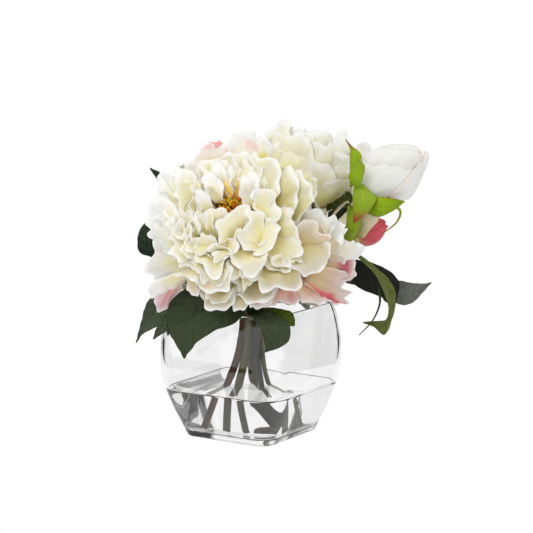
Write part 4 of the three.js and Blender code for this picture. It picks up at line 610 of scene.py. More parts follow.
    ('front_whorl_4', [-18.8, 183.5, 71.1], [[-28.1, 203.7, 74.7], [-28.6, 208.5, 69.1], [-26.4, 213.4, 64.0], [-22.5, 209.1, 69.1], [-19.4, 212.9, 65.6], [-16.1, 210.1, 68.3], [-15.1, 205.4, 72.3]], dict(wb=4.5, amp=1.9, body=(252, 246, 218), roll=1.4)),
    ('front_whorl_4', [-14.3, 185.0, 71.1], [[-20.2, 196.1, 77.8], [-20.6, 200.8, 73.9], [-18.6, 205.7, 69.5], [-14.9, 202.2, 72.7], [-11.9, 205.0, 70.3], [-8.8, 202.3, 72.3], [-7.9, 197.7, 75.4]], dict(wb=4.5, amp=1.9, body=(252, 246, 218), roll=1.4)),
    ('front_whorl_4', [-9.7, 185.0, 71.9], [[-12.6, 202.7, 79.8], [-13.0, 207.5, 75.4], [-9.3, 210.2, 73.1], [-6.6, 209.0, 73.9], [-3.3, 213.6, 68.7], [0.1, 209.1, 72.7], [1.2, 204.4, 76.2]], dict(wb=4.5, amp=1.9, body=(252, 246, 218), roll=1.4)),
    ('front_whorl_4', [-3.7, 185.0, 73.1], [[-2.9, 196.6, 82.2], [-3.2, 201.3, 78.6], [-0.3, 204.9, 75.4], [2.5, 202.4, 77.0], [5.5, 206.7, 72.7], [8.5, 203.0, 75.0], [9.4, 198.3, 78.2]], dict(wb=4.5, amp=1.9, body=(252, 246, 218), roll=1.4)),
    ('front_whorl_4', [3.8, 182.6, 75.4], [[4.7, 186.5, 91.2], [4.4, 191.1, 88.1], [6.7, 195.1, 85.7], [9.4, 192.1, 86.9], [12.0, 196.1, 84.1], [14.6, 192.7, 85.3], [15.4, 188.2, 87.3]], dict(wb=4.5, amp=1.9, body=(252, 246, 218), roll=1.4)),
    ('front_whorl_4', [-27.9, 180.5, 70.3], [[-41.5, 188.5, 80.2], [-41.9, 193.1, 75.8], [-40.0, 197.7, 72.7], [-36.5, 193.4, 76.6], [-33.8, 197.5, 74.3], [-30.9, 194.6, 76.6], [-30.0, 190.0, 79.4]], dict(wb=4.5, amp=1.9, body=(252, 246, 218), roll=1.4)),
    ('front_whorl_4', [-29.4, 178.2, 71.1], [[-42.4, 177.8, 86.1], [-42.8, 182.4, 83.0], [-41.1, 187.1, 80.2], [-37.8, 183.8, 83.0], [-35.2, 186.5, 81.8], [-32.6, 183.8, 83.3], [-31.7, 179.3, 85.3]], dict(wb=4.5, amp=1.9, body=(252, 246, 218), roll=1.4)),
    ('front_whorl_4', [6.9, 178.8, 77.8], [[9.1, 179.0, 94.0], [8.9, 183.6, 91.2], [10.2, 188.5, 88.1], [13.2, 185.0, 89.7], [15.4, 187.7, 87.3], [17.6, 185.2, 88.1], [18.3, 180.6, 89.7]], dict(wb=4.5, amp=1.9, body=(252, 246, 218), roll=1.4)),
    ('front_whorl_4', [-19.6, 182.8, 71.5], [[-29.5, 189.9, 81.8], [-29.1, 195.2, 79.4], [-26.6, 197.7, 79.0], [-24.9, 195.1, 81.8], [-22.9, 196.9, 81.8], [-21.1, 192.0, 85.3]], dict(wb=3.2, amp=1.6, body=(252, 242, 196), roll=1.2)),
    ('front_whorl_4', [-15.0, 184.3, 71.5], [[-20.1, 194.5, 79.0], [-19.8, 199.9, 76.2], [-17.6, 201.5, 76.2], [-16.0, 199.8, 78.6], [-14.2, 202.3, 77.8], [-12.6, 196.6, 82.2]], dict(wb=3.2, amp=1.6, body=(252, 242, 196), roll=1.2)),
    ('front_whorl_4', [-9.7, 185.0, 71.9], [[-11.4, 189.8, 84.9], [-11.0, 195.1, 83.0], [-8.6, 197.5, 82.6], [-6.9, 195.0, 84.9], [-4.9, 196.7, 84.5], [-3.2, 191.9, 88.5]], dict(wb=3.2, amp=1.6, body=(252, 242, 196), roll=1.2)),
    ('front_whorl_4', [-3.7, 185.0, 73.1], [[-3.7, 190.6, 84.1], [-3.4, 195.9, 82.2], [-1.0, 198.7, 81.4], [0.5, 195.8, 83.7], [2.5, 197.1, 84.1], [4.1, 192.7, 87.3]], dict(wb=3.2, amp=1.6, body=(252, 242, 196), roll=1.2)),
    ('front_whorl_4', [-22.6, 182.0, 71.1], [[-35.0, 183.1, 84.1], [-34.7, 188.4, 81.8], [-32.5, 191.0, 81.8], [-30.9, 188.3, 84.1], [-29.0, 189.8, 84.5], [-27.4, 185.2, 87.7]], dict(wb=3.2, amp=1.6, body=(252, 242, 196), roll=1.2)),
    ('front_whorl_4', [-12.8, 188.1, 69.9], [[-17.1, 184.7, 80.6], [-16.8, 190.0, 78.2], [-14.5, 191.6, 78.2], [-13.0, 190.0, 80.2], [-11.1, 192.6, 79.8], [-9.6, 186.8, 83.7]], dict(wb=3.2, amp=1.6, body=(252, 242, 196), roll=1.2)),
    ('front_whorl_4', [0.1, 177.2, 81.8], [[-8.0, 190.3, 89.3], [-8.1, 199.5, 84.5], [-4.3, 202.2, 83.7], [-1.7, 197.9, 86.1], [0.9, 203.7, 83.3], [4.6, 203.3, 84.1], [6.9, 196.3, 88.5], [10.6, 191.8, 91.2], [7.7, 186.5, 93.6]], dict(wb=4, amp=1.0, body=(252, 251, 246), roll=1.6, lip=0.2)),
    ('front_whorl_4', [-17.2, 183.4, 74.7], [[-29.9, 200.6, 78.2], [-28.6, 206.8, 73.5], [-23.3, 209.9, 71.9], [-19.4, 203.6, 77.8], [-15.0, 208.6, 74.7], [-11.9, 202.0, 79.8], [-13.3, 195.1, 83.0]], dict(wb=4, amp=1.0, body=(252, 250, 240), roll=1.4, lip=0.2)),
    ('front_whorl_4', [-22.4, 178.0, 77.8], [[-35.7, 186.0, 84.5], [-38.2, 193.8, 79.0], [-36.0, 199.1, 76.2], [-30.7, 201.0, 77.4], [-26.1, 195.9, 82.2], [-20.0, 192.0, 85.7], [-21.4, 186.6, 88.9]], dict(wb=4, amp=1.0, body=(252, 250, 242), roll=1.4, lip=0.2)),
    ('front_whorl_4', [8.4, 175.5, 85.7], [[-0.5, 185.0, 92.4], [3.2, 188.8, 90.9], [8.4, 189.5, 91.2], [13.6, 187.2, 92.8], [16.6, 181.9, 95.6], [14.3, 176.6, 98.4]], dict(wb=5, amp=1.0, body=(250, 249, 244), roll=1.4, lip=0.2)),
    ('front_whorl_4', [-17.2, 180.4, 75.4], [[-21.6, 189.1, 81.8], [-20.1, 194.5, 79.4], [-17.1, 195.2, 79.4], [-14.1, 192.1, 81.8], [-13.3, 187.6, 84.1]], dict(wb=3, amp=0.7, body=(250, 214, 84), lip=0.05)),
    ('front_whorl_4', [-9.7, 180.3, 76.6], [[-12.6, 189.1, 83.7], [-11.1, 196.7, 79.8], [-8.9, 198.2, 79.4], [-6.6, 192.1, 83.0], [-6.6, 186.8, 85.7]], dict(wb=3, amp=0.7, body=(250, 216, 96), lip=0.05)),
    ('front_whorl_4', [-0.6, 175.6, 82.6], [[-3.5, 182.2, 88.9], [-0.6, 187.5, 86.9], [3.9, 188.2, 86.9], [5.4, 182.9, 90.1]], dict(wb=3, amp=0.7, body=(250, 216, 96), lip=0.05)),
    ('front_whorl_3', [-30.6, 171.2, 81.4], [[-40.9, 177.0, 86.1], [-42.5, 183.1, 83.0], [-38.8, 187.6, 82.6], [-33.5, 186.0, 85.7], [-29.6, 180.6, 89.7]], dict(wb=4, amp=1.1, body=(250, 248, 236), roll=1.4, lip=0.18)),
    ('front_whorl_3', [-27.4, 151.6, 88.9], [[-40.7, 159.0, 90.9], [-40.1, 165.8, 88.9], [-36.3, 170.2, 88.9], [-31.8, 170.2, 90.1], [-28.0, 165.7, 93.2], [-25.7, 158.9, 96.4]], dict(wb=7, amp=0.8, tone=0.5)),
    ('front_whorl_2', [-48.6, 156.2, 81.0], [[-58.6, 171.2, 79.0], [-57.2, 175.4, 78.2], [-55.5, 176.5, 79.0], [-53.6, 171.9, 82.2]], dict(wb=2.4, amp=1.2, nar=2, body=(246, 243, 226), roll=0.9)),
    ('front_whorl_2', [-47.1, 157.7, 81.8], [[-53.1, 170.4, 83.3], [-51.7, 174.5, 82.2], [-50.0, 175.6, 83.0], [-48.2, 171.1, 85.7]], dict(wb=2.4, amp=1.2, nar=2, body=(246, 243, 226), roll=0.9)),
    ('front_whorl_2', [-45.5, 156.2, 83.0], [[-47.9, 168.8, 86.9], [-46.4, 172.9, 86.1], [-44.6, 174.0, 86.5], [-42.7, 169.5, 89.3]], dict(wb=2.4, amp=1.2, nar=2, body=(246, 243, 226), roll=0.9)),
    ('front_whorl_2', [-44.0, 154.6, 84.1], [[-42.7, 165.7, 90.9], [-41.1, 169.8, 90.1], [-39.2, 170.9, 90.1], [-37.3, 166.4, 92.8]], dict(wb=2.4, amp=1.2, nar=2, body=(246, 243, 226), roll=0.9)),
    ('front_whorl_2', [-50.1, 153.2, 80.2], [[-61.6, 163.7, 79.4], [-60.1, 167.9, 79.0], [-58.4, 169.0, 80.2], [-56.6, 164.4, 83.3]], dict(wb=2.4, amp=1.2, nar=2, body=(246, 243, 226), roll=0.9)),
    ('front_whorl_2', [-47.0, 153.2, 82.6], [[-55.1, 160.6, 85.7], [-53.8, 164.7, 85.3], [-52.2, 165.8, 85.7], [-50.5, 161.3, 88.5]], dict(wb=2.4, amp=1.2, nar=2, body=(246, 243, 226), roll=0.9)),
    ('front_whorl_2', [-44.0, 153.1, 84.5], [[-49.1, 158.3, 90.1], [-47.7, 162.4, 89.7], [-46.0, 163.5, 90.1], [-44.3, 159.0, 92.4]], dict(wb=2.4, amp=1.2, nar=2, body=(246, 243, 226), roll=0.9)),
    ('front_whorl_2', [-40.9, 153.1, 86.5], [[-40.6, 159.7, 93.6], [-39.3, 163.8, 92.8], [-37.8, 164.9, 93.2], [-36.1, 160.4, 95.2]], dict(wb=2.4, amp=1.2, nar=2, body=(246, 243, 226), roll=0.9)),
    ('front_whorl_2', [-48.6, 150.2, 81.8], [[-58.3, 155.4, 84.5], [-56.9, 159.5, 84.5], [-55.2, 160.6, 85.7], [-53.4, 156.1, 88.1]], dict(wb=2.4, amp=1.2, nar=2, body=(246, 243, 226), roll=0.9)),
    ('front_whorl_2', [-43.9, 150.2, 84.9], [[-52.0, 153.1, 89.7], [-50.6, 157.2, 89.3], [-49.0, 158.3, 90.1], [-47.4, 153.8, 92.0]], dict(wb=2.4, amp=1.2, nar=2, body=(246, 243, 226), roll=0.9)),
    ('front_whorl_2', [-40.9, 148.6, 86.9], [[-45.9, 152.3, 93.2], [-44.5, 156.4, 92.8], [-43.0, 157.5, 93.2], [-41.3, 153.0, 95.2]], dict(wb=2.4, amp=1.2, nar=2, body=(246, 243, 226), roll=0.9)),
]
BACK_TRACED = [
    ('back_whorl_2', [25.8, 211.1, -26.9], [[11.3, 224.1, -30.0], [14.6, 231.6, -33.2], [18.6, 239.8, -36.3], [22.7, 248.1, -38.7], [25.9, 252.7, -40.3], [28.8, 248.2, -39.5], [30.7, 237.4, -36.3], [33.1, 225.9, -33.2]], dict(wb=9, amp=0.24499999999999997, body=(238, 237, 230), roll=0.225)),
    ('back_whorl_2', [38.6, 209.4, -25.3], [[28.2, 222.3, -26.9], [33.1, 231.4, -30.0], [37.2, 243.7, -33.2], [39.5, 237.9, -31.6], [42.0, 243.7, -33.2], [45.2, 230.6, -30.0], [48.3, 217.4, -25.3]], dict(wb=9, amp=0.48999999999999994, body=(234, 232, 220), roll=0.225)),
    ('back_whorl_2', [51.4, 207.7, -23.7], [[43.5, 217.4, -25.3], [46.7, 229.7, -28.4], [51.2, 241.5, -31.6], [55.6, 231.3, -28.4], [60.3, 217.4, -25.3]], dict(wb=9, amp=0.48999999999999994, body=(226, 222, 196), roll=0.225)),
    ('back_whorl_1', [67.4, 206.0, -20.5], [[55.4, 217.3, -23.7], [60.4, 227.2, -26.9], [65.3, 236.1, -29.2], [69.3, 241.9, -30.8], [73.0, 244.8, -31.6], [75.8, 240.3, -31.6], [77.4, 230.6, -30.0], [78.8, 220.7, -26.9]], dict(wb=10, amp=0.24499999999999997, body=(238, 237, 230), roll=0.225)),
    ('back_whorl_1', [56.9, 212.1, -47.4], [[49.8, 227.0, -23.7], [53.1, 235.2, -26.9], [58.0, 237.7, -28.4], [62.0, 234.4, -26.9], [64.3, 225.4, -23.7]], dict(wb=6, amp=0.63, body=(222, 220, 198), roll=0.225)),
    ('back_whorl_1', [63.7, 186.3, -6.3], [[51.9, 218.2, -11.1], [58.3, 222.2, -11.1], [65.4, 223.8, -11.1], [72.7, 221.5, -12.6], [78.4, 213.7, -15.8]], dict(wb=10, amp=0.7, body=(226, 222, 196), spots=[(-0.3, 0.85, 0.4, 0.2, (236, 200, 186), 0.6)], roll=0.225)),
    ('back_whorl_1', [58.8, 179.8, -1.6], [[39.7, 198.5, 4.7], [46.0, 201.6, 4.7], [53.1, 199.3, 4.7], [61.0, 197.7, 4.7], [69.8, 200.2, 1.6], [78.6, 205.1, -3.2]], dict(wb=11, amp=0.77, body=(212, 209, 166), roll=0.225)),
    ('back_whorl_1', [46.2, 183.0, -3.2], [[33.5, 210.0, -4.7], [40.7, 218.0, -6.3], [47.8, 221.2, -6.3], [54.1, 216.3, -4.7], [58.1, 206.7, -3.2]], dict(wb=9, amp=0.63, body=(226, 221, 188), roll=0.225)),
    ('back_whorl_1', [70.2, 183.2, -9.5], [[58.8, 205.1, -3.2], [64.4, 211.6, -4.7], [70.8, 214.8, -6.3], [76.5, 210.2, -9.5], [80.6, 200.8, -12.6]], dict(wb=8, amp=0.63, body=(222, 218, 186), roll=0.225)),
    ('back_petal_d', [4.8, 207.2, -47.4], [[-16.9, 227.4, -31.6], [-15.3, 234.8, -33.2], [-9.6, 239.7, -34.8], [-2.4, 239.7, -34.8], [3.3, 236.4, -33.2], [8.1, 227.3, -30.0]], dict(wb=8, amp=0.7, body=(238, 237, 232), roll=0.225)),
    ('back_petal_d', [13.0, 208.9, -47.4], [[1.7, 225.6, -28.4], [6.5, 233.0, -30.0], [12.2, 237.9, -31.6], [17.0, 232.2, -30.0], [21.0, 222.3, -26.9]], dict(wb=7, amp=0.7, body=(230, 228, 214), roll=0.225)),
    ('back_petal_b', [76.4, 200.7, -47.4], [[79.5, 223.2, -42.7], [84.4, 229.0, -44.2], [91.0, 232.4, -45.8], [96.7, 228.3, -45.8], [98.2, 219.3, -44.2]], dict(wb=7, amp=0.7, body=(236, 226, 220), roll=0.225)),
    ('back_petal_b', [72.7, 187.3, -34.8], [[79.7, 191.9, -28.4], [83.9, 200.0, -31.6], [85.6, 209.9, -34.8], [82.5, 218.8, -36.3]], dict(wb=8, amp=0.7, body=(226, 224, 196), roll=0.225)),
    ('back_petal_a', [54.1, 171.9, -4.7], [[38.1, 185.9, 4.7], [43.6, 180.3, 6.3], [50.7, 176.4, 6.3], [59.4, 175.6, 4.7], [68.2, 178.1, 0.0], [76.3, 184.6, -4.7]], dict(wb=9, amp=0.77, body=(206, 202, 156), roll=0.225)),
]


# ------------------------------------------------------------------ front bloom
# the filler rings behind the traced petals take low tones, yellower and darker: painted shade in the gaps between the
# traced petals
for (name, th, r1, r0, n, turn), tb in zip(FRONT_WHORLS, (158, 150, 140, 128)):
    ring(name, FRONT, th, r1, r0, n, turn, th_base=tb, shrink=0.07, tone=(0.1, 0.35), inset=(6.5, 5.5, 3.5, 1.5)[(158, 150, 140, 128).index(tb)])
    ring(name, FRONT, th + 7, r1 - 3.4, r0 - 1.5, n, turn + 180 / n, th_base=tb, shrink=0.08, tone=(0.0, 0.3), inset=(6.0, 5.0, 3.0, 1.0)[(158, 150, 140, 128).index(tb)])
ring("front_whorl_1", FRONT, 78, 70.5, 41.0, 10, 20, th_base=150, tone=(0.3, 0.5), amp=1.6, th_jit=5, arc=lambda ph: 62 < ph % 360 < 176)
ring("front_whorl_1", FRONT, 84, 73.0, 42.0, 11, 0, th_base=152, tone=(0.3, 0.5), amp=1.8, th_jit=6, arc=lambda ph: 62 < ph % 360 < 176)
# more open petals on the far side of the bloom, where nothing else is drawn
ring("front_whorl_1", FRONT, 80, 70.5, 40.5, 11, 12, th_base=150, tone=(0.35, 0.6), arc=lambda ph: 62 < ph % 360 < 168)
ring("front_whorl_2", FRONT, 62, 64.5, 38.5, 10, 32, th_base=140, tone=(0.35, 0.6), arc=lambda ph: 62 < ph % 360 < 168)

for name, B, rim, o in TRACED:
    petal(SKINS[name], FRONT, lean(B), list(lean(rim)), **{"nu": 14 + 3 * len(rim), **o})
# each outer petal also stands where the frame has it, so the far side is whole
for name, ph, th, r, hw, off in FRONT_GUARDS:
    half = hw / (r * math.sin(min(th, 90) * D2R)) / D2R
    rr = r + off * 0.9 - (15.0 if -150 < ph < 10 and th < 95 else 9.0 if -170 < ph < 30 else 4.0)
    th = th + (8 if -150 < ph < 10 else 4 if ph < 30 else 1)
    pts = [FRONT.O + FRONT.dir(th + 10, ph - half) * rr, FRONT.O + FRONT.dir(th + 2, ph - half * 0.5) * rr, FRONT.O + FRONT.dir(th, ph) * rr,
           FRONT.O + FRONT.dir(th + 2, ph + half * 0.5) * rr, FRONT.O + FRONT.dir(th + 10, ph + half) * rr]
    # the left guards j and k get painted shade (grey)
    grey = 0.5 if name[-1] in "jk" else 0.0
    pink = 0.8 if name[-1] in "cdei" else 0.0
    petal(SKINS[name], FRONT, FRONT.O + FRONT.dir(162, ph) * (43 + off * 0.55), pts, wb=7, amp=1.6, tone=0.4, guard=True, pink=pink, grey=grey, nu=32, nt=20)

# ------------------------------------------------------------------ back bloom
for (name, th, r1, r0, n, turn), tb in zip(BACK_WHORLS, (150, 138)):
    ring(name, BACK, th, r1 - 4.5, r0 - 1.0, n, turn, th_base=tb, tone=(0.3, 0.6), amp=1.5, th_jit=7, point=0.22, shrink=0.12)
    ring(name, BACK, th + 9, r1 - 4.0, r0 - 0.6, n, turn + 180 / n, th_base=tb, tone=(0.3, 0.6), amp=1.6, th_jit=7, point=0.22, shrink=0.12)
ring("back_whorl_1", BACK, 62, 48.0, 30.0, 9, 0, th_base=150, tone=(0.3, 0.55), amp=1.5, th_jit=6)
for name, ph, th, r, hw, off in BACK_GUARDS:
    half = hw / r / D2R
    rr = r + off * 0.9
    pts = [BACK.O + BACK.drawn(BACK.dir(th + 9, ph - half)) * rr, BACK.O + BACK.drawn(BACK.dir(th, ph)) * rr, BACK.O + BACK.drawn(BACK.dir(th + 9, ph + half)) * rr]
    # grey=0.2 is painted shade on the back bloom's outer petals
    petal(SKINS[name], BACK, BACK.O + BACK.dir(158, ph) * 33, pts, wb=6, amp=1.5, tone=0.5, grey=0.2, guard=True, nu=32, nt=20)
for name, B, rim, o in BACK_TRACED:
    petal(SKINS[name], BACK, lean(B), list(lean(rim)), **{"nu": 14 + 3 * len(rim), **o})

PETAL_SLOT = {"front_petal_c": "petal_pink", "front_petal_d": "petal_pink", "front_petal_e": "petal_pink", "front_petal_i": "petal_pink"}
for name, skin in SKINS.items():
    if name.startswith("front_petal"):
        s = PETAL_SLOT.get(name, "petal_guard")
    elif name.startswith("front"):
        s = "petal_cream"
    else:
        s = "petal_back"
    skin.build(name + "_bloom", PETAL, s, [name])

# stamens: thin filaments with anthers, leaning to one side
sk = Skin()


def tube(sk, pts, rad, sides, paint, puts=1.0, ns=14, cap0=True, cap1=True, squash=None):
    ts = np.linspace(0, 1, ns + 1)
    C, T = catmull(pts, ts)
    n0 = unit(np.cross(T[0], [0.31, 0.52, 0.79]))
    rings = []
    for i in range(len(ts)):
        n0 = unit(n0 - T[i] * (n0 @ T[i]))
        b0 = np.cross(T[i], n0)
        a = np.linspace(0, 2 * np.pi, sides, endpoint=False)
        r = rad(ts[i]) if callable(rad) else rad
        rr = np.broadcast_to(np.asarray(r, float), a.shape)[:, None]
        rings.append(C[i] + rr * (np.cos(a)[:, None] * n0 + np.sin(a)[:, None] * b0))
    rings = np.array(rings)
    if callable(paint):
        p = np.array([[paint(t, a) for a in np.linspace(0, 2 * np.pi, sides, endpoint=False)] for t in ts])
    else:
        p = np.broadcast_to(paint, rings.shape)
    L = np.linalg.norm(np.diff(C, axis=0), axis=-1).sum()
    put = np.zeros(rings.shape)
    put[..., 0] = np.arange(sides)[None, :] * 2 * np.pi * float(np.mean(rad(0.5) if callable(rad) else rad)) / sides
    put[..., 1] = (ts * L)[:, None]
    put[..., 2] = puts
    sk.loft(rings, p, put, cap0, cap1)


YELLOW = srgb(255, 222, 60)
RUST = srgb(236, 112, 20)
side = unit(lean([-0.75, -0.35, 0.1]))
tuft = []
for i in range(64):
    a = i * 137.508
    q = math.sqrt((i + 0.5) / 64)
    base = FRONT.O + FRONT.A * 7.0 + FRONT.dir(90, a) * (6.0 * q)
    tip = FRONT.O + FRONT.A * (38.0 + rng.uniform(-2.5, 2.0)) + FRONT.dir(90, a) * (10.5 * q) + side * 5.0
    mid = (base + tip) / 2 + FRONT.dir(90, a) * rng.uniform(0.5, 2.0) - side * 1.0
    tube(sk, [base, mid, tip], lambda t: 0.42 - 0.12 * t, 6, mixc(YELLOW, srgb(240, 214, 90), 0.5), i, ns=5)
    d = unit(tip - mid + rng.normal(0, 2.5, 3))
    col = mixc(YELLOW, RUST, rng.uniform(0.0, 1.0) ** 1.7)
    tube(sk, [tip - d * 1.6, tip, tip + d * 1.8], lambda t: 0.32 + 0.60 * math.sin(math.pi * t) ** 0.7, 8, col, i + 90, ns=6)
for i in range(3):
    a = 40 + 120 * i
    base = FRONT.O + FRONT.A * 6 + FRONT.dir(90, a) * 2.4
    tip = FRONT.O + FRONT.A * 27 + FRONT.dir(90, a) * 3.2
    tube(sk, [base, (base + tip) / 2 + FRONT.dir(90, a) * 1.6, tip], lambda t: 0.5 + 2.1 * math.sin(math.pi * min(t + 0.12, 1)) ** 0.8, 10, srgb(150, 164, 60), 200 + i, ns=10)
a = np.linspace(0, 2 * np.pi, 40, endpoint=False)
disc = [(0.5, 5.4), (6.6, 5.4), (7.6, 6.2), (7.4, 7.4), (5.5, 8.4), (0.5, 8.8)]
rings = np.array([[FRONT.O + FRONT.A * h + FRONT.dir(90, x / D2R) * r for x in a] for r, h in disc])
sk.loft(rings, srgb(205, 190, 70), np.zeros(3))
sk.build("front_stamen_tuft", STAMEN, "stamens", ["front_stamens"])

# heart of the back bloom: tightly folded petals round a solid core
sk = Skin()
a = np.linspace(0, 2 * np.pi, 48, endpoint=False)
core = [(0.3, -10.5), (5, -9), (13.0, 2), (16.0, 12), (14, 22), (8, 27), (0.3, 29)]
rings = np.array([[BACK.O + BACK.A * h + BACK.dir(90, x / D2R) * r * (1 + 0.05 * math.sin(5 * x + h * 0.25)) for x in a] for r, h in core])
sk.loft(rings, srgb(224, 218, 170), np.zeros(3))
for j, (cnt, thr, rr) in enumerate(((5, 26, 27.5), (4, 14, 30.0), (3, 8, 31.5))):
    for i in range(cnt):
        ph = 360 * i / cnt + 37 * j
        half = 210 / cnt
        pts = [BACK.O + BACK.drawn(BACK.dir(thr + 6, ph - half)) * rr, BACK.O + BACK.drawn(BACK.dir(thr, ph)) * rr, BACK.O + BACK.drawn(BACK.dir(thr + 6, ph + half)) * rr]
        # no painted recess shade on the back bloom's heart
        petal(sk, BACK, BACK.O + BACK.dir(85, ph) * 15, pts, wb=6, amp=1.0, tone=0.4, roll=0.6, nu=18, nt=16, hollow_shade=0)
sk.build("back_bloom_heart", PETAL, "petal_core", ["back_core"])
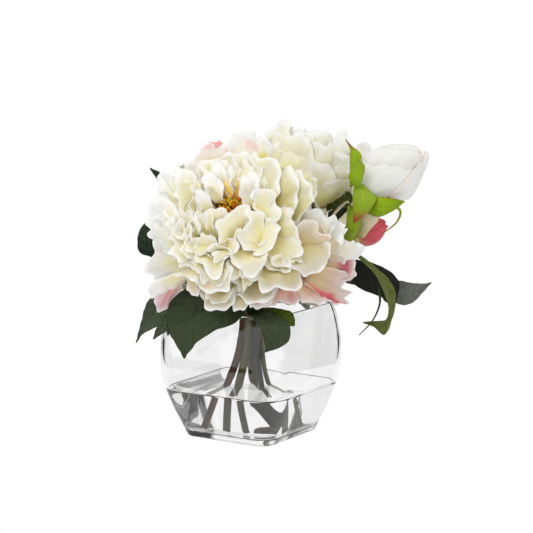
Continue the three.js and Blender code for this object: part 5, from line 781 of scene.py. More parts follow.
LEAF_RUNGS = {  # edges of the leaves and sepals that show, base to tip (lean frame, mm)
    'leaf_front_left_upper': ([[-4.1, 100.6, 35.2], [-16.3, 106.1, 43.3], [-30.0, 112.3, 46.4], [-42.3, 116.9, 47.3], [-52.3, 112.3, 45.8], [-61.7, 102.7, 42.6], [-65.7, 90.7, 39.1], [-64.2, 77.4, 46.5]],
        [[-4.1, 97.6, 37.5], [-13.1, 96.3, 51.8], [-23.6, 95.4, 59.0], [-34.3, 93.4, 58.1], [-42.7, 90.0, 56.3], [-51.3, 85.7, 52.7], [-59.1, 81.7, 48.3], [-63.4, 77.8, 46.5]]),
    'leaf_front_left_lower': ([[-7.0, 102.4, 50.8], [-19.0, 101.9, 63.2], [-31.1, 98.9, 65.0], [-41.7, 93.6, 63.2], [-51.0, 88.1, 58.9], [-59.6, 83.4, 53.8], [-61.7, 78.7, 50.6], [-57.4, 71.1, 51.9], [-51.1, 60.2, 55.7]],
        [[-3.1, 97.9, 54.1], [-8.2, 90.8, 71.8], [-15.0, 86.3, 75.6], [-25.6, 82.9, 72.7], [-34.7, 77.1, 68.7], [-41.7, 72.3, 63.8], [-45.6, 66.9, 60.7], [-48.4, 63.8, 58.0], [-50.4, 60.2, 55.8]]),
    'leaf_front_tip': ([[-3.9, 99.4, 50.4], [-2.4, 94.8, 52.3], [1.6, 91.8, 81.9], [5.4, 86.8, 92.0], [7.7, 82.4, 93.8], [9.4, 77.1, 91.8], [10.1, 71.9, 90.7], [10.6, 66.3, 90.7]],
        [[-0.9, 100.1, 49.8], [8.3, 97.1, 50.1], [17.4, 94.7, 78.9], [27.0, 90.4, 88.0], [29.3, 85.3, 90.1], [28.9, 75.6, 90.3], [21.8, 70.0, 90.2], [11.4, 66.7, 90.4]]),
    'leaf_front_light': ([[-2.4, 100.1, 48.0], [6.8, 99.6, 44.0], [15.9, 99.2, 61.0], [23.5, 98.2, 68.0], [30.6, 96.0, 68.4], [32.9, 92.2, 70.1], [33.2, 86.4, 76.6]],
        [[-2.4, 97.8, 48.0], [5.2, 94.0, 48.0], [12.9, 91.5, 70.5], [20.4, 89.1, 79.4], [27.1, 87.2, 80.8], [30.1, 85.7, 79.3], [32.4, 85.7, 77.9]]),
    'leaf_left_low': ([[-52.8, 111.7, -4.8], [-63.2, 110.9, -7.0], [-72.8, 109.3, -8.6], [-80.0, 105.7, -9.5], [-84.9, 97.7, -10.5], [-87.3, 88.6, -11.2], [-89.7, 78.4, -5.9], [-91.4, 70.3, -0.7]],
        [[-51.0, 107.1, 2.2], [-58.0, 101.6, 4.2], [-63.4, 96.1, 6.6], [-67.2, 91.5, 8.7], [-72.3, 84.4, 9.5], [-80.7, 80.0, 6.5], [-87.0, 76.2, -0.7], [-90.7, 70.3, -0.4]]),
    'leaf_left_small': ([[-47.7, 105.9, 25.6], [-56.9, 101.2, 27.5], [-64.8, 95.8, 26.2], [-69.8, 89.9, 26.0], [-73.4, 83.7, 24.8], [-76.5, 74.0, 25.1]],
        [[-47.5, 99.8, 31.8], [-54.9, 90.7, 39.0], [-59.5, 84.5, 39.7], [-65.0, 80.6, 37.5], [-70.3, 77.3, 32.4], [-75.7, 73.8, 25.6]]),
    'leaf_left_behind': ([[-41.4, 129.1, -17.0], [-61.4, 133.9, -19.4], [-81.7, 138.4, -23.4], [-90.2, 142.0, -25.5], [-91.6, 150.0, -24.9], [-90.9, 157.2, -24.6], [-85.2, 166.4, -22.2], [-78.2, 174.3, -18.4]],
        [[-41.3, 124.4, -15.1], [-58.8, 126.0, -14.7], [-68.3, 132.3, -12.8], [-72.4, 143.5, -14.9], [-72.3, 153.1, -14.0], [-74.0, 161.1, -15.4], [-76.5, 168.3, -17.5], [-77.3, 173.9, -17.7]]),
    'leaf_right_broad': ([[62.3, 146.7, -11.7], [74.0, 140.3, -6.7], [83.3, 135.9, -1.6], [92.0, 134.3, -0.7], [101.4, 130.7, 0.7], [109.7, 126.4, -0.6], [116.6, 118.1, -2.8], [114.9, 104.7, -0.1], [112.7, 99.2, 3.3]],
        [[62.0, 133.9, -1.8], [67.9, 123.7, 8.2], [77.2, 119.4, 11.5], [84.6, 113.5, 13.5], [92.7, 110.0, 15.4], [101.3, 106.5, 16.1], [105.4, 102.5, 12.7], [110.6, 100.8, 4.1], [111.9, 99.2, 3.5]]),
    'leaf_right_under': ([[102.3, 115.6, -15.7], [110.0, 118.8, -11.5], [117.1, 119.2, -9.7], [123.4, 118.0, -9.4], [130.6, 117.0, -9.7], [137.0, 116.7, -10.6], [143.2, 117.8, -11.5]],
        [[102.6, 109.1, -20.1], [109.0, 104.3, -21.6], [115.9, 101.1, -22.3], [122.7, 99.5, -22.2], [129.4, 101.9, -20.2], [135.5, 108.4, -16.6], [143.1, 117.4, -11.8]]),
    'leaf_right_narrow': ([[78.7, 138.6, 14.7], [89.4, 131.5, 20.0], [95.5, 125.3, 22.1], [100.1, 117.5, 23.3], [103.6, 108.9, 22.9], [106.5, 100.3, 21.1], [106.9, 94.0, 18.1], [105.2, 88.9, 16.0], [100.7, 87.9, 12.6], [96.5, 87.6, 9.9], [92.3, 87.3, 7.5], [87.7, 86.7, 5.5]],
        [[81.0, 140.1, 15.8], [92.4, 133.8, 21.5], [99.3, 127.6, 24.0], [106.1, 121.4, 26.4], [111.5, 112.1, 27.2], [112.5, 103.5, 24.3], [111.2, 94.1, 20.6], [109.3, 87.8, 18.5], [107.5, 81.5, 17.4], [103.7, 76.8, 15.4], [96.1, 82.9, 10.2], [88.1, 85.9, 5.5]]),
    'bud1_sepal_a': ([[77.2, 193.4, 12.3], [77.1, 201.2, 14.7], [77.1, 209.0, 14.0], [77.4, 216.9, 12.5], [77.5, 222.1, 11.2], [76.0, 226.3, 9.8], [73.5, 230.6, 7.9]],
        [[82.7, 193.4, 12.8], [83.4, 204.3, 14.7], [85.3, 212.2, 14.2], [86.2, 216.9, 13.3], [84.3, 220.5, 12.2], [79.6, 224.1, 10.6], [74.1, 230.3, 8.1]]),
    'bud1_sepal_d': ([[77.4, 194.8, 26.7], [75.5, 199.8, 28.4], [76.9, 204.4, 29.8], [79.6, 208.2, 29.9], [83.5, 212.7, 29.6]],
        [[84.6, 192.8, 29.2], [86.4, 198.8, 32.0], [87.8, 205.0, 33.2], [87.6, 208.5, 32.4], [84.6, 212.6, 30.0]]),
    'bud1_sepal_b': ([[80.2, 194.5, 23.7], [79.0, 186.7, 24.4], [78.6, 180.4, 29.2], [78.6, 174.9, 29.8], [78.8, 169.5, 29.5], [79.0, 163.8, 30.0]],
        [[85.2, 195.3, 24.6], [92.9, 188.6, 26.8], [96.9, 182.6, 32.4], [93.4, 176.0, 32.6], [86.9, 169.1, 31.2], [79.8, 163.9, 30.1]]),
    'bud1_sepal_c': ([[90.3, 182.3, 17.5], [95.6, 185.1, 26.6], [102.7, 183.7, 32.6], [109.6, 183.0, 32.2], [115.4, 182.0, 27.7], [119.6, 181.4, 22.2]],
        [[89.8, 173.1, 11.6], [93.4, 170.6, 18.1], [99.2, 169.2, 24.7], [106.1, 171.5, 26.5], [112.4, 175.4, 24.9], [119.2, 181.0, 22.2]]),
    'bud2_sepal_a': ([[75.5, 177.9, 6.4], [75.0, 169.3, 7.4], [73.9, 162.2, 7.7], [70.7, 156.0, -2.0], [73.9, 151.6, -4.5], [77.1, 150.1, -3.9]],
        [[79.7, 178.7, 7.7], [85.0, 170.0, 10.5], [85.1, 162.1, 11.3], [83.5, 156.4, 2.0], [80.6, 151.3, -2.4], [78.6, 150.1, -3.5]]),
    'leaf_curl': ([[58.7, 171.8, 0.1], [59.7, 178.3, -4.3], [63.7, 185.5, -6.2], [68.4, 189.4, -6.0], [73.1, 190.5, -4.3], [77.3, 189.2, 1.2], [79.7, 184.5, 9.2], [77.1, 178.5, 13.9], [71.8, 176.6, 10.7]],
        [[60.9, 166.9, 7.6], [64.0, 171.6, 7.6], [68.0, 177.2, 6.1], [71.9, 180.3, 6.4], [75.1, 182.3, 6.4], [76.2, 181.8, 7.3], [76.5, 179.8, 10.1], [74.1, 177.8, 11.2], [71.0, 176.5, 10.0]]),
}
BUD1_FRONT = ([[84.5, 188.9, 7.1], [84.9, 198.4, 7.1], [85.5, 207.0, 7.1], [86.5, 213.7, 7.1], [91.6, 219.6, 7.1], [100.2, 223.5, 7.1], [110.4, 224.5, 7.1], [119.1, 225.9, 7.1]],
    [[96.3, 183.4, 7.1], [110.4, 183.3, 7.1], [120.7, 187.4, 7.1], [127.4, 196.0, 7.1], [132.1, 206.2, 7.1], [135.2, 214.1, 7.1], [134.0, 219.6, 7.1], [129.3, 225.5, 7.1]])
BUD1_SIDE = ([[94.5, 185.6, 11.1], [105.5, 190.4, 11.1], [116.5, 201.3, 11.1], [124.3, 211.5, 11.1], [130.6, 217.0, 11.1], [134.5, 220.9, 11.1], [136.5, 220.6, 11.1]],
    [[117.1, 182.4, 2.4], [124.9, 184.8, 2.4], [130.5, 192.7, 2.4], [134.8, 202.5, 2.4], [138.7, 212.0, 2.4], [139.8, 217.1, 2.4], [138.0, 220.7, 2.4]])
BUD2_TOP = ([[81.9, 157.7, -4.7], [83.5, 164.0, -4.7], [86.6, 169.6, -4.7], [90.6, 172.3, -4.7], [95.3, 172.3, -4.7], [100.9, 171.1, -4.7]],
    [[85.7, 152.9, -2.4], [88.9, 152.9, -2.4], [92.8, 156.1, -2.4], [96.8, 160.8, -2.4], [99.6, 165.5, -2.4], [101.5, 169.5, -2.4]])
BUD2_LOW = ([[81.0, 151.3, -3.2], [87.3, 156.9, -3.2], [92.1, 161.6, -3.2], [96.1, 165.6, -3.2], [99.2, 165.6, -3.2], [100.8, 164.0, -3.2]],
    [[84.3, 148.6, -6.3], [90.7, 149.0, -6.3], [97.0, 151.4, -6.3], [101.8, 155.3, -6.3], [102.6, 160.1, -6.3], [101.8, 162.5, -6.3]])

# ------------------------------------------------------------------ buds
class BudFrame(Frame):
    def __init__(self, base, tip):
        b, t = lean(base), lean(tip)
        self.A = unit(t - b)
        self.O = b + (t - b) * 0.44
        self.U = unit(TOWARD - self.A * (TOWARD @ self.A))
        self.V = np.cross(self.A, self.U)
        self.len = float(np.linalg.norm(t - b))
        self.tall, self.flat = 1.0, False


BUD_WHITE = srgb(240, 240, 235)
BUD_LOW = srgb(238, 240, 226)


def bud_form(f, th, ph, r, k, squeeze=0.0):
    """Place on a closed bud: polar angle, azimuth, radius, stretch along its axis."""
    d = f.dir(th, ph)
    along = (d @ f.A)[..., None]
    pinch = 1 - squeeze * smooth((along - 0.1) / 0.9) ** 1.5
    flat_part = d - f.A * along
    return f.O + (flat_part * pinch + f.A * along * k) * np.asarray(r, float)[..., None]


def bud_wrap(sk, f, ph0, half, th0, th1, r, k, paint_low, paint_high, squeeze, lean_edge=0.0, tip_colour=None, amp=0.35, nu=40, nt=40):
    """One petal wrapped round a bud."""
    u = np.linspace(-1, 1, nu + 1)[None, :]
    t = np.linspace(0, 1, nt + 1)[:, None]
    seed = rng.uniform(0, 6.28)
    te = t * (1 - 0.16 * np.abs(u) ** 3)
    th = th0 + (th1 - th0) * te
    w = half * (0.30 + 0.70 * np.sin(np.clip(te / 0.62, 0, 1) * np.pi / 2))
    ph = ph0 + u * w + lean_edge * te * u
    rr = r + 0.9 * np.abs(u) ** 3 * smooth(te) + amp * np.sin(3.1 * u + seed) * te + 0.12 * np.sin(16 * u + seed) * np.sin(np.pi * te)
    rr = rr + 0.8 * np.clip((te - 0.9) / 0.1, 0, 1) ** 2
    P = bud_form(f, th, ph, rr, k, squeeze)
    c = mixc(paint_low, paint_high, smooth(te / 0.45))
    if tip_colour is not None:
        edge = np.minimum(1 - t, (1 - np.abs(u)) * 0.5 + 0.02)
        c = mixc(c, tip_colour, 0.55 * np.exp(-(edge / 0.06) ** 2))
    put = np.stack([u * r + 0 * t, t * 50 + 0 * u, np.full((nt + 1, nu + 1), seed * 9)], -1)
    sk.shell(P, 0.5, c, put)


def bud_core(sk, f, r, k, squeeze, low, high, n=64, m=40):
    th = np.linspace(178, 2, m)[:, None] + 0 * np.zeros((1, n))
    ph = np.linspace(0, 360, n, endpoint=False)[None, :] + 0 * th
    swirl = 0.4 * np.sin((ph * 3 + th * 2.4) * D2R)
    P = bud_form(f, th, ph, r + swirl, k, squeeze)
    c = mixc(low, high, smooth((150 - th) / 70))
    put = np.stack([ph * r * D2R, th * 0.5, np.full(th.shape, 3.0)], -1)
    sk.loft(P, c, put)


B1 = BudFrame([83.1, 184.3, 3.2], [136.3, 223.5, 7.9])
K1 = B1.len * 0.5 / 22.6
sk = Skin()
bud_core(sk, B1, 20.2, K1 * 0.98, 0.32, BUD_LOW, BUD_WHITE)
for i, (ph, th1) in enumerate(((150, 6), (30, 7), (270, 5))):
    bud_wrap(sk, B1, ph, 64, 150, th1, 21.0 + 0.25 * i, K1 * 0.99, BUD_LOW, BUD_WHITE, 0.32)
sk.build("bud1_inner_petals", BUD, "bud_white", ["bud1_heart"])


def bud_sheet(sk, edges, bulge, nu=44, nt=44, tip=None, body=None):
    """A bud's outer petal drawn by its two side edges, bulging forward between them."""
    ts = np.linspace(0, 1, nt + 1)
    P0, P1 = (catmull([lean(q) for q in e], ts)[0] for e in edges)
    C, h = (P0 + P1) / 2, (P1 - P0) / 2
    s = np.sin(np.linspace(-1, 1, nu + 1) * np.pi / 2)[None, :]
    w = np.linalg.norm(h, axis=-1)[:, None]
    T = unit(np.gradient(C, axis=0))
    n = np.cross(unit(h), T)
    n = unit(n) * np.sign(np.sum(n * TOWARD, -1, keepdims=True))
    n = unit(n + TOWARD * 0.8)
    t = ts[:, None]
    up = bulge * np.sqrt(np.maximum(1 - s ** 2, 0)) * np.minimum(w, 20) * (0.25 + 0.75 * np.sin(np.pi * np.clip(0.12 + 0.80 * t, 0, 1)))
    up = up + 0.22 * np.sin(11 * s + 2.5 * t) * np.sin(np.pi * t) + 0.5 * np.sin(5 * s + 1) * t ** 3
    P = C[:, None, :] + h[:, None, :] * s[..., None] + n[:, None, :] * up[..., None]
    c = mixc(BUD_LOW, BUD_WHITE, smooth(t / 0.4) + 0 * s)
    if body is not None:
        c = mixc(body[0], body[1], smooth(t / 0.6) + 0 * s)
    # the grey-cream stripes, stronger toward the base, are the bud's own pattern; the darkening toward the second edge,
    # its right side, is painted shade
    c = mixc(c, srgb(214, 210, 192) if body is None else body[0], 0.55 * (0.5 + 0.5 * np.sin(13 * s + 3 * t)) * smooth(1 - t) + 0.35 * np.clip(s, 0, 1) ** 3)
    if tip is not None:
        c = mixc(c, tip, 0.7 * np.exp(-((1 - s) / 0.16) ** 2) * smooth((t - 0.2) / 0.5))
    put = np.stack([s * 20 + 0 * t, t * 50 + 0 * s, np.full((nt + 1, nu + 1), 4.0)], -1)
    sk.shell(P, 0.5, c, put)


for nm, ph, th1, r in (("a", -20, 15, 22.4), ("b", 100, 20, 22.9), ("c", 220, 24, 22.7)):
    sk = Skin()
    if nm == "a":
        bud_sheet(sk, BUD1_FRONT, 0.98, tip=srgb(240, 206, 180))
    if nm == "c":
        bud_sheet(sk, BUD1_SIDE, 0.55)
    bud_wrap(sk, B1, ph, 70, 152, th1, r, K1, BUD_LOW, BUD_WHITE, 0.30, tip_colour=srgb(244, 222, 206), nu=54, nt=48)
    sk.build("bud1_petal_" + nm + "_wrap", BUD, "bud_white", ["bud1_petal_" + nm])

B2 = BudFrame([79.8, 153, -12.6], [108.3, 165.7, -9.5])
K2 = B2.len * 0.5 / 11.2
BLUSH_LOW, BLUSH = srgb(196, 200, 120), srgb(230, 214, 186)
sk = Skin()
bud_core(sk, B2, 9.9, K2 * 0.98, 0.25, BLUSH_LOW, srgb(236, 190, 180), 48, 30)
bud_wrap(sk, B2, 200, 80, 150, 8, 10.5, K2 * 0.99, srgb(206, 150, 110), srgb(214, 84, 98), 0.22, tip_colour=srgb(190, 36, 52), nu=30, nt=28)
bud_wrap(sk, B2, -60, 70, 150, 10, 10.8, K2, srgb(206, 130, 100), srgb(204, 60, 76), 0.22, tip_colour=srgb(184, 30, 46), nu=30, nt=28)
bud_sheet(sk, BUD2_LOW, 0.55, nu=26, nt=26, tip=srgb(186, 34, 56), body=(srgb(200, 196, 130), srgb(214, 70, 92)))
sk.build("bud2_inner_petals", BUD, "bud_blush", ["bud2_heart"])
sk = Skin()
bud_sheet(sk, BUD2_TOP, 0.7, nu=30, nt=30, tip=srgb(214, 120, 124), body=(srgb(196, 196, 120), srgb(232, 216, 190)))
bud_wrap(sk, B2, 60, 78, 148, 20, 11.3, K2, srgb(206, 170, 120), srgb(212, 86, 98), 0.2, tip_colour=srgb(196, 40, 58), nu=34, nt=30)
sk.build("bud2_petal_a_wrap", BUD, "bud_blush", ["bud2_petal_a"])

# ------------------------------------------------------------------ leaves and sepals
LEAVES = [
    ("leaf_front_left_upper", [[-1, 100.6, 31.6], [-22.2, 98.8, 55], [-42.9, 90.5, 55.6], [-64, 77.7, 46.4]], 16.5, 0.10, [-0.3, 0.6, 0.8], 0.12, "dark"),
    ("leaf_front_left_lower", [[1, 99.6, 42], [-13.4, 95.9, 67.8], [-32.6, 83, 70], [-51, 60.4, 55.6]], 14.5, 0.22, [-0.2, 0.5, 0.9], 0.12, "dark"),
    ("leaf_front_tip", [[5.6, 100.2, 49], [12.4, 97.2, 77.4], [20.4, 86.6, 91], [16.4, 66.4, 90]], 11.0, 0.22, [0.1, 0.4, 0.9], 0.1, "dark"),
    ("leaf_front_light", [[9.4, 102, 44], [17.4, 99, 69.3], [28.4, 95.5, 77], [39.6, 88, 72]], 8.5, 0.25, [0.5, 0.7, 0.5], 0.2, "light"),
    ("leaf_left_low", [[-10, 106, 12], [-36.6, 109, 8], [-62.9, 100, 2], [-80.4, 87, -1], [-91.5, 71.4, -2.6]], 9.5, 0.35, [-0.3, 0.8, 0.5], 0.15, "dark"),
    ("leaf_left_small", [[-10, 103.0, 21], [-28.5, 103.5, 27], [-52, 96, 35], [-68, 85, 31], [-78, 74.5, 23]], 6.5, 0.35, [-0.3, 0.7, 0.7], 0.15, "dark"),
    ("leaf_left_behind", [[-8, 112, -8], [-30, 118, -14], [-58, 130, -17], [-80, 147, -19], [-78.9, 174.7, -19]], 11.0, 0.4, [-0.5, 0.3, 0.8], 0.15, "dark"),
    ("leaf_top_left", [[-14, 132, -16], [-37, 164, -26], [-60, 190, -26], [-81.4, 209.1, -22]], 8.0, 0.3, [0.3, 0.3, 0.9], 0.1, "dark"),
    ("leaf_right_broad", [[10, 110, 2], [40, 124, -4], [68.2, 133.9, -1], [89.4, 129.9, 3.2], [107.3, 119.7, 6.3], [115.6, 102.3, 0]], 13.0, 0.42, [0.2, 0.6, 0.75], 0.15, "dark"),
    ("leaf_right_under", [[60, 122, -12], [90, 120, -15], [116.5, 111.6, -15], [130, 110.8, -14], [142.6, 117.2, -12]], 8.5, 0.3, [-0.1, -0.55, 0.8], 0.1, "grey"),
    ("leaf_right_narrow", [[62, 122, 12], [86, 127, 19], [102, 111, 23], [109, 93, 19], [103.8, 76.7, 15]], 5.5, 0.2, [-0.5, 0.1, 0.85], 0.1, "olive"),
    ("leaf_curl", [[52, 160, -2], [60, 172, 2], [70, 181, 4], [77.5, 187, 3]], 6.0, 0.2, [-0.6, 0.5, 0.5], 0.2, "olive"),
    ("leaf_back_right", [[8, 112, -18], [22, 121, -50], [36, 113, -85], [48, 94, -105]], 14.0, 0.2, [0.1, 0.9, -0.4], 0.12, "dark"),
    ("leaf_back_left", [[-12, 112, -15], [-35, 121, -42], [-55, 114, -65], [-72, 99, -78]], 13.0, 0.2, [-0.3, 0.9, -0.3], 0.12, "dark"),
    ("leaf_back_middle", [[-2, 115, -18], [-9, 127, -55], [-14, 121, -92], [-20, 102, -115]], 13.0, 0.2, [0, 0.9, -0.5], 0.12, "dark"),
    ("bud1_sepal_a", [[79.5, 181.5, 9], [76.5, 199.8, 14], [78.9, 215, 13], [74.3, 230.7, 8]], 6.5, 0.0, [-0.1, 0.2, 1], 0.25, "sepal"),
    ("bud1_sepal_b", [[81.5, 178.5, 12], [88, 186, 28], [86.5, 178, 31], [79.1, 168.9, 29]], 7.5, 0.0, [-0.2, 0.2, 1], 0.2, "sepal"),
    ("bud1_sepal_c", [[85.5, 177.0, 8], [99, 174.5, 25.5], [110.5, 177, 28], [120.6, 186.1, 22]], 7.5, 0.0, [0.4, -0.5, 0.75], 0.2, "sepal"),
    ("bud1_sepal_d", [[82, 184, 15], [82.3, 193, 28], [86.5, 202.5, 33], [89, 213.5, 31]], 6.5, 0.0, [-0.3, 0.1, 0.95], 0.2, "sepal"),
    ("bud2_sepal_a", [[77, 150.4, -4], [71, 157.8, 4], [74, 167, 7.6], [79, 173.5, 8]], 5.0, 0.0, [-0.3, 0.1, 0.95], 0.2, "sepal"),
]
TAILS = {
    "leaf_right_narrow": ([[99, 114.6, 21.6], [100.4, 102, 17], [95, 88, 12], [84.5, 76.4, 8]], 1.0),
    "bud1_sepal_c": ([[110, 178.5, 28], [115.8, 173.5, 25.5], [113.6, 165.4, 21.5], [102.9, 156.3, 17]], 1.2),
}
# leaf_right_broad's near-black face is painted shade; leaf_right_narrow gets a darker olive face
LEAF_FACE = {"leaf_right_broad": srgb(26, 30, 20), "leaf_right_narrow": srgb(46, 54, 26)}
LEAF_LOOKS = {  # face, underside, vein, edge
    "dark": (srgb(40, 54, 36), srgb(60, 70, 48), srgb(66, 82, 56), srgb(30, 40, 26)),
    "light": (srgb(98, 118, 30), srgb(104, 116, 60), srgb(120, 138, 50), srgb(56, 68, 20)),
    "olive": (srgb(66, 78, 34), srgb(104, 112, 60), srgb(136, 140, 60), srgb(160, 150, 50)),
    "grey": (srgb(118, 122, 112), srgb(50, 60, 44), srgb(150, 152, 140), srgb(80, 86, 66)),
    "sepal": (srgb(128, 160, 6), srgb(140, 166, 40), srgb(150, 178, 40), srgb(150, 110, 30)),
}
LEAF_SLOTS = {"dark": "leaf_dark", "light": "leaf_light", "olive": "leaf_light", "grey": "leaf_underside", "sepal": "sepal_green"}
SLOT_BY_NAME = {"leaf_right_narrow": "leaf_dark"}


def leaf(name, spine, hw, stalk, facing, fold, look):
    sepal = look == "sepal"
    nu, nt = (22, 44) if sepal else (26, 72)
    face, under, vein, edge = LEAF_LOOKS[look]
    face = LEAF_FACE.get(name, face)
    if name in LEAF_FACE:
        vein, edge = mixc(face, vein, 0.3), mixc(face, edge, 0.2)
    ts = np.linspace(0, 1, nt + 1)
    C, T = catmull([lean(q) for q in spine], ts)
    N = unit(lean(facing))
    E = unit(np.cross(T, N))
    n = unit(np.cross(E, T))
    u = np.linspace(-1, 1, nu + 1)[None, :]
    t = ts[:, None]
    seed = rng.uniform(0, 6.28)
    size = hw / 13
    if name in LEAF_RUNGS:
        left, right = LEAF_RUNGS[name]
        first = lean(spine[0])
        e0 = unit(lean(right[0]) - lean(left[0])) * 0.9
        head0 = [first - e0] if not sepal else []
        head1 = [first + e0] if not sepal else []
        P0 = catmull(head0 + [lean(q) for q in left], ts)[0]
        P1 = catmull(head1 + [lean(q) for q in right], ts)[0]
        C = (P0 + P1) / 2
        w = np.maximum(np.linalg.norm(P1 - P0, axis=-1), 0.5)[:, None] / 2
        E = unit(P1 - P0 + e0 * 0.02)
        T = np.gradient(C, axis=0)
        n = np.cross(E, T)
        n = unit(n) * np.sign(np.sum(n * N, -1, keepdims=True))
        for _ in range(4):
            n = unit(np.concatenate([n[:1], (n[:-2] + n[1:-1] * 2 + n[2:]) / 4, n[-1:]]))
        x, stalk = t, (0.0 if sepal else 0.06)
        w = w * (1 + 0.012 * np.sin(19 * x + seed))
    else:
        x = np.clip((t - stalk) / (1 - stalk), 0, 1)
        w = hw * np.maximum(np.sin(np.pi * x ** 0.8), 0) ** 0.85
        w = np.maximum(w * (1 + 0.012 * np.sin(19 * x + seed)), 0.75)
    lift = fold * np.abs(u) * w + 0.035 * w * np.abs(u) ** 2 * np.sin(9 * x + seed + 1.4 * np.sign(u)) * 3.0
    if name in LEAF_RUNGS:
        lift = -fold * (1 - np.abs(u)) * np.minimum(w, 9) + 0.9 * np.sin(7 * x + seed) * (1 - u ** 2) * np.minimum(w, 6) / 6
    if sepal:
        lift = (0.42 if name in LEAF_RUNGS else -fold) * (1 - u ** 2) * w + 0.05 * w * np.sin(5 * x + seed) * u
    veins = 9 if not sepal else 5
    q = (x * veins - np.abs(u) * 1.15) % 1.0
    groove = np.exp(-((q - 0.5) / 0.10) ** 2) * smooth(np.abs(u) * 6 - 0.4) * (1 - np.abs(u) ** 4) * (w > 1.4)
    mid = np.exp(-(u / 0.055) ** 2) * (w > 1.2)
    if sepal:
        q = (np.abs(u) * 4.5) % 1.0
        groove = np.exp(-((q - 0.5) / 0.16) ** 2) * smooth(x * 5) * (w > 1.2)
    lift = lift - 0.30 * size * groove - 0.55 * size * mid + 0.25 * size * np.cos((x * veins - np.abs(u) * 1.15) * 2 * np.pi) * (1 - mid) * smooth(np.abs(u) * 3) * (0 if sepal else 1)
    P = C[:, None, :] + E[:, None, :] * (u * w)[..., None] + n[:, None, :] * lift[..., None]
    top = mixc(np.broadcast_to(face, P.shape), vein, 0.55 * groove + 0.75 * mid)
    rim = np.exp(-((1 - np.abs(u)) / 0.07) ** 2)
    top = mixc(top, edge, 0.6 * rim)
    top = top * (1 + 0.10 * np.sin(7 * x + seed) * np.ones_like(u))[..., None]
    # painted shade: leaf faces darken toward their bases, where they lie under the petals
    if not sepal:
        top = top * (0.30 + 0.62 * smooth((x - 0.1) / 0.85) * np.ones_like(u))[..., None]
    low = mixc(np.broadcast_to(under, P.shape), vein, 0.5 * groove + 0.7 * mid)
    if sepal:
        tipk = np.maximum(smooth((x - (0.60 if name in ("bud1_sepal_b", "bud1_sepal_a") else 0.80)) / 0.3), 0.75 * rim * smooth((x - 0.2) / 0.35))
        top = mixc(top, srgb(160, 74, 30), 0.85 * tipk)
        low = mixc(low, srgb(160, 84, 44), tipk)
        pale = smooth(1 - x * 2.2)
        top = mixc(top, srgb(160, 186, 60), 0.3 * pale)
    stalked = smooth((stalk * 1.1 - t) / 0.06) if stalk > 0 else 0 * t
    thick = 0.55 * (1.15 - 0.45 * np.abs(u)) * size ** 0.3 + 0.9 * stalked * np.sqrt(np.maximum(1 - u ** 2, 0.02))
    put = np.stack([u * w, t * np.linalg.norm(np.diff(C, axis=0), axis=-1).sum() + 0 * u, np.full(P.shape[:2], seed * 11)], -1)
    sk = Skin()
    sk.shell(P, thick, top, put, low)
    if name in TAILS:
        pts, r = TAILS[name]
        tube(sk, [lean(p) for p in pts], lambda s: r * (1.1 - 0.75 * s), 12,
             (lambda s, a: mixc(face, srgb(150, 140, 20), float(smooth(s * 1.1)))) if sepal else (lambda s, a: mixc(face, srgb(96, 90, 50), 0.6 * s)), 5.0, ns=22)
    sk.build(name + "_blade", SEPAL if sepal else LEAF, SLOT_BY_NAME.get(name, LEAF_SLOTS[look]), [name])


for row in LEAVES:
    leaf(*row)

# ------------------------------------------------------------------ stems, each swelling into what it carries
# ------------------------------------------------------------------ stems; the two bloom stems swell into their
# receptacles
STEMS = [
    ("stem_front_bloom", 3.4, "green", "front", [], [[-1.5, 2.4, 112], [-2.4, 3.4, 96], [-2.4, 3.6, 78], [-4.4, 4.4, 60], [-9.5, 6, 38], [-14, 8, 8.2]]),
    ("stem_back_bloom", 3.2, "green", "back", [[27, 138, -19]], [[5.2, -7.2, 114], [2.4, -4.6, 98], [1.2, -4.8, 80], [0.6, -6.6, 60], [1.6, -10, 38], [7, -16, 8.2]]),
    ("stem_large_bud", 2.5, "dark", None, [[77.2, 179.2, 2.4], [66, 168, 1], [42, 143, -1], [20, 124, 0]], [[5.8, 2.2, 104], [4.4, 2.8, 90], [3.2, 2.8, 78], [4.4, 4.6, 60], [8.0, 8, 38], [15, 13, 8.2]]),
    ("stem_small_bud", 2.3, "green", None, [[75.4, 149.6, -14.6], [60, 137, -17], [34, 122, -12]], [[12.0, -1.4, 104], [7.4, -1.3, 92], [6.4, -1.5, 78], [8.4, -1.6, 60], [13.2, -2, 40], [31, -4, 8.2]]),
    ("stem_leaf_left", 3.1, "brown", None, [], [[-12.0, 1.4, 103.4], [-6.6, -2.0, 92], [-6.8, -1.6, 78], [-10.4, -0.4, 60], [-18.0, 2, 40], [-33, 3, 8.6]]),
]
STEM_LOOKS = {"green": (srgb(94, 88, 36), srgb(38, 42, 12)), "dark": (srgb(30, 40, 10), srgb(16, 22, 6)), "brown": (srgb(106, 68, 36), srgb(50, 30, 14))}
HEADS = {
    "front": (FRONT, [(0.3, -55.5), (2.9, -55), (3.6, -52.2), (8.3, -50.2), (11.2, -47.2), (11.2, -46.2), (9.0, -45.6), (4.0, -46.2), (3.6, -20), (3.5, 3), (0.3, 4.6)]),
    "back": (BACK, [(0.3, -44.6), (2.9, -44), (3.4, -41.2), (7.3, -39.2), (9.4, -36.8), (9.2, -35.6), (7.5, -35.4), (3.6, -36.0), (3.2, -20), (0.3, -12.2)]),
}
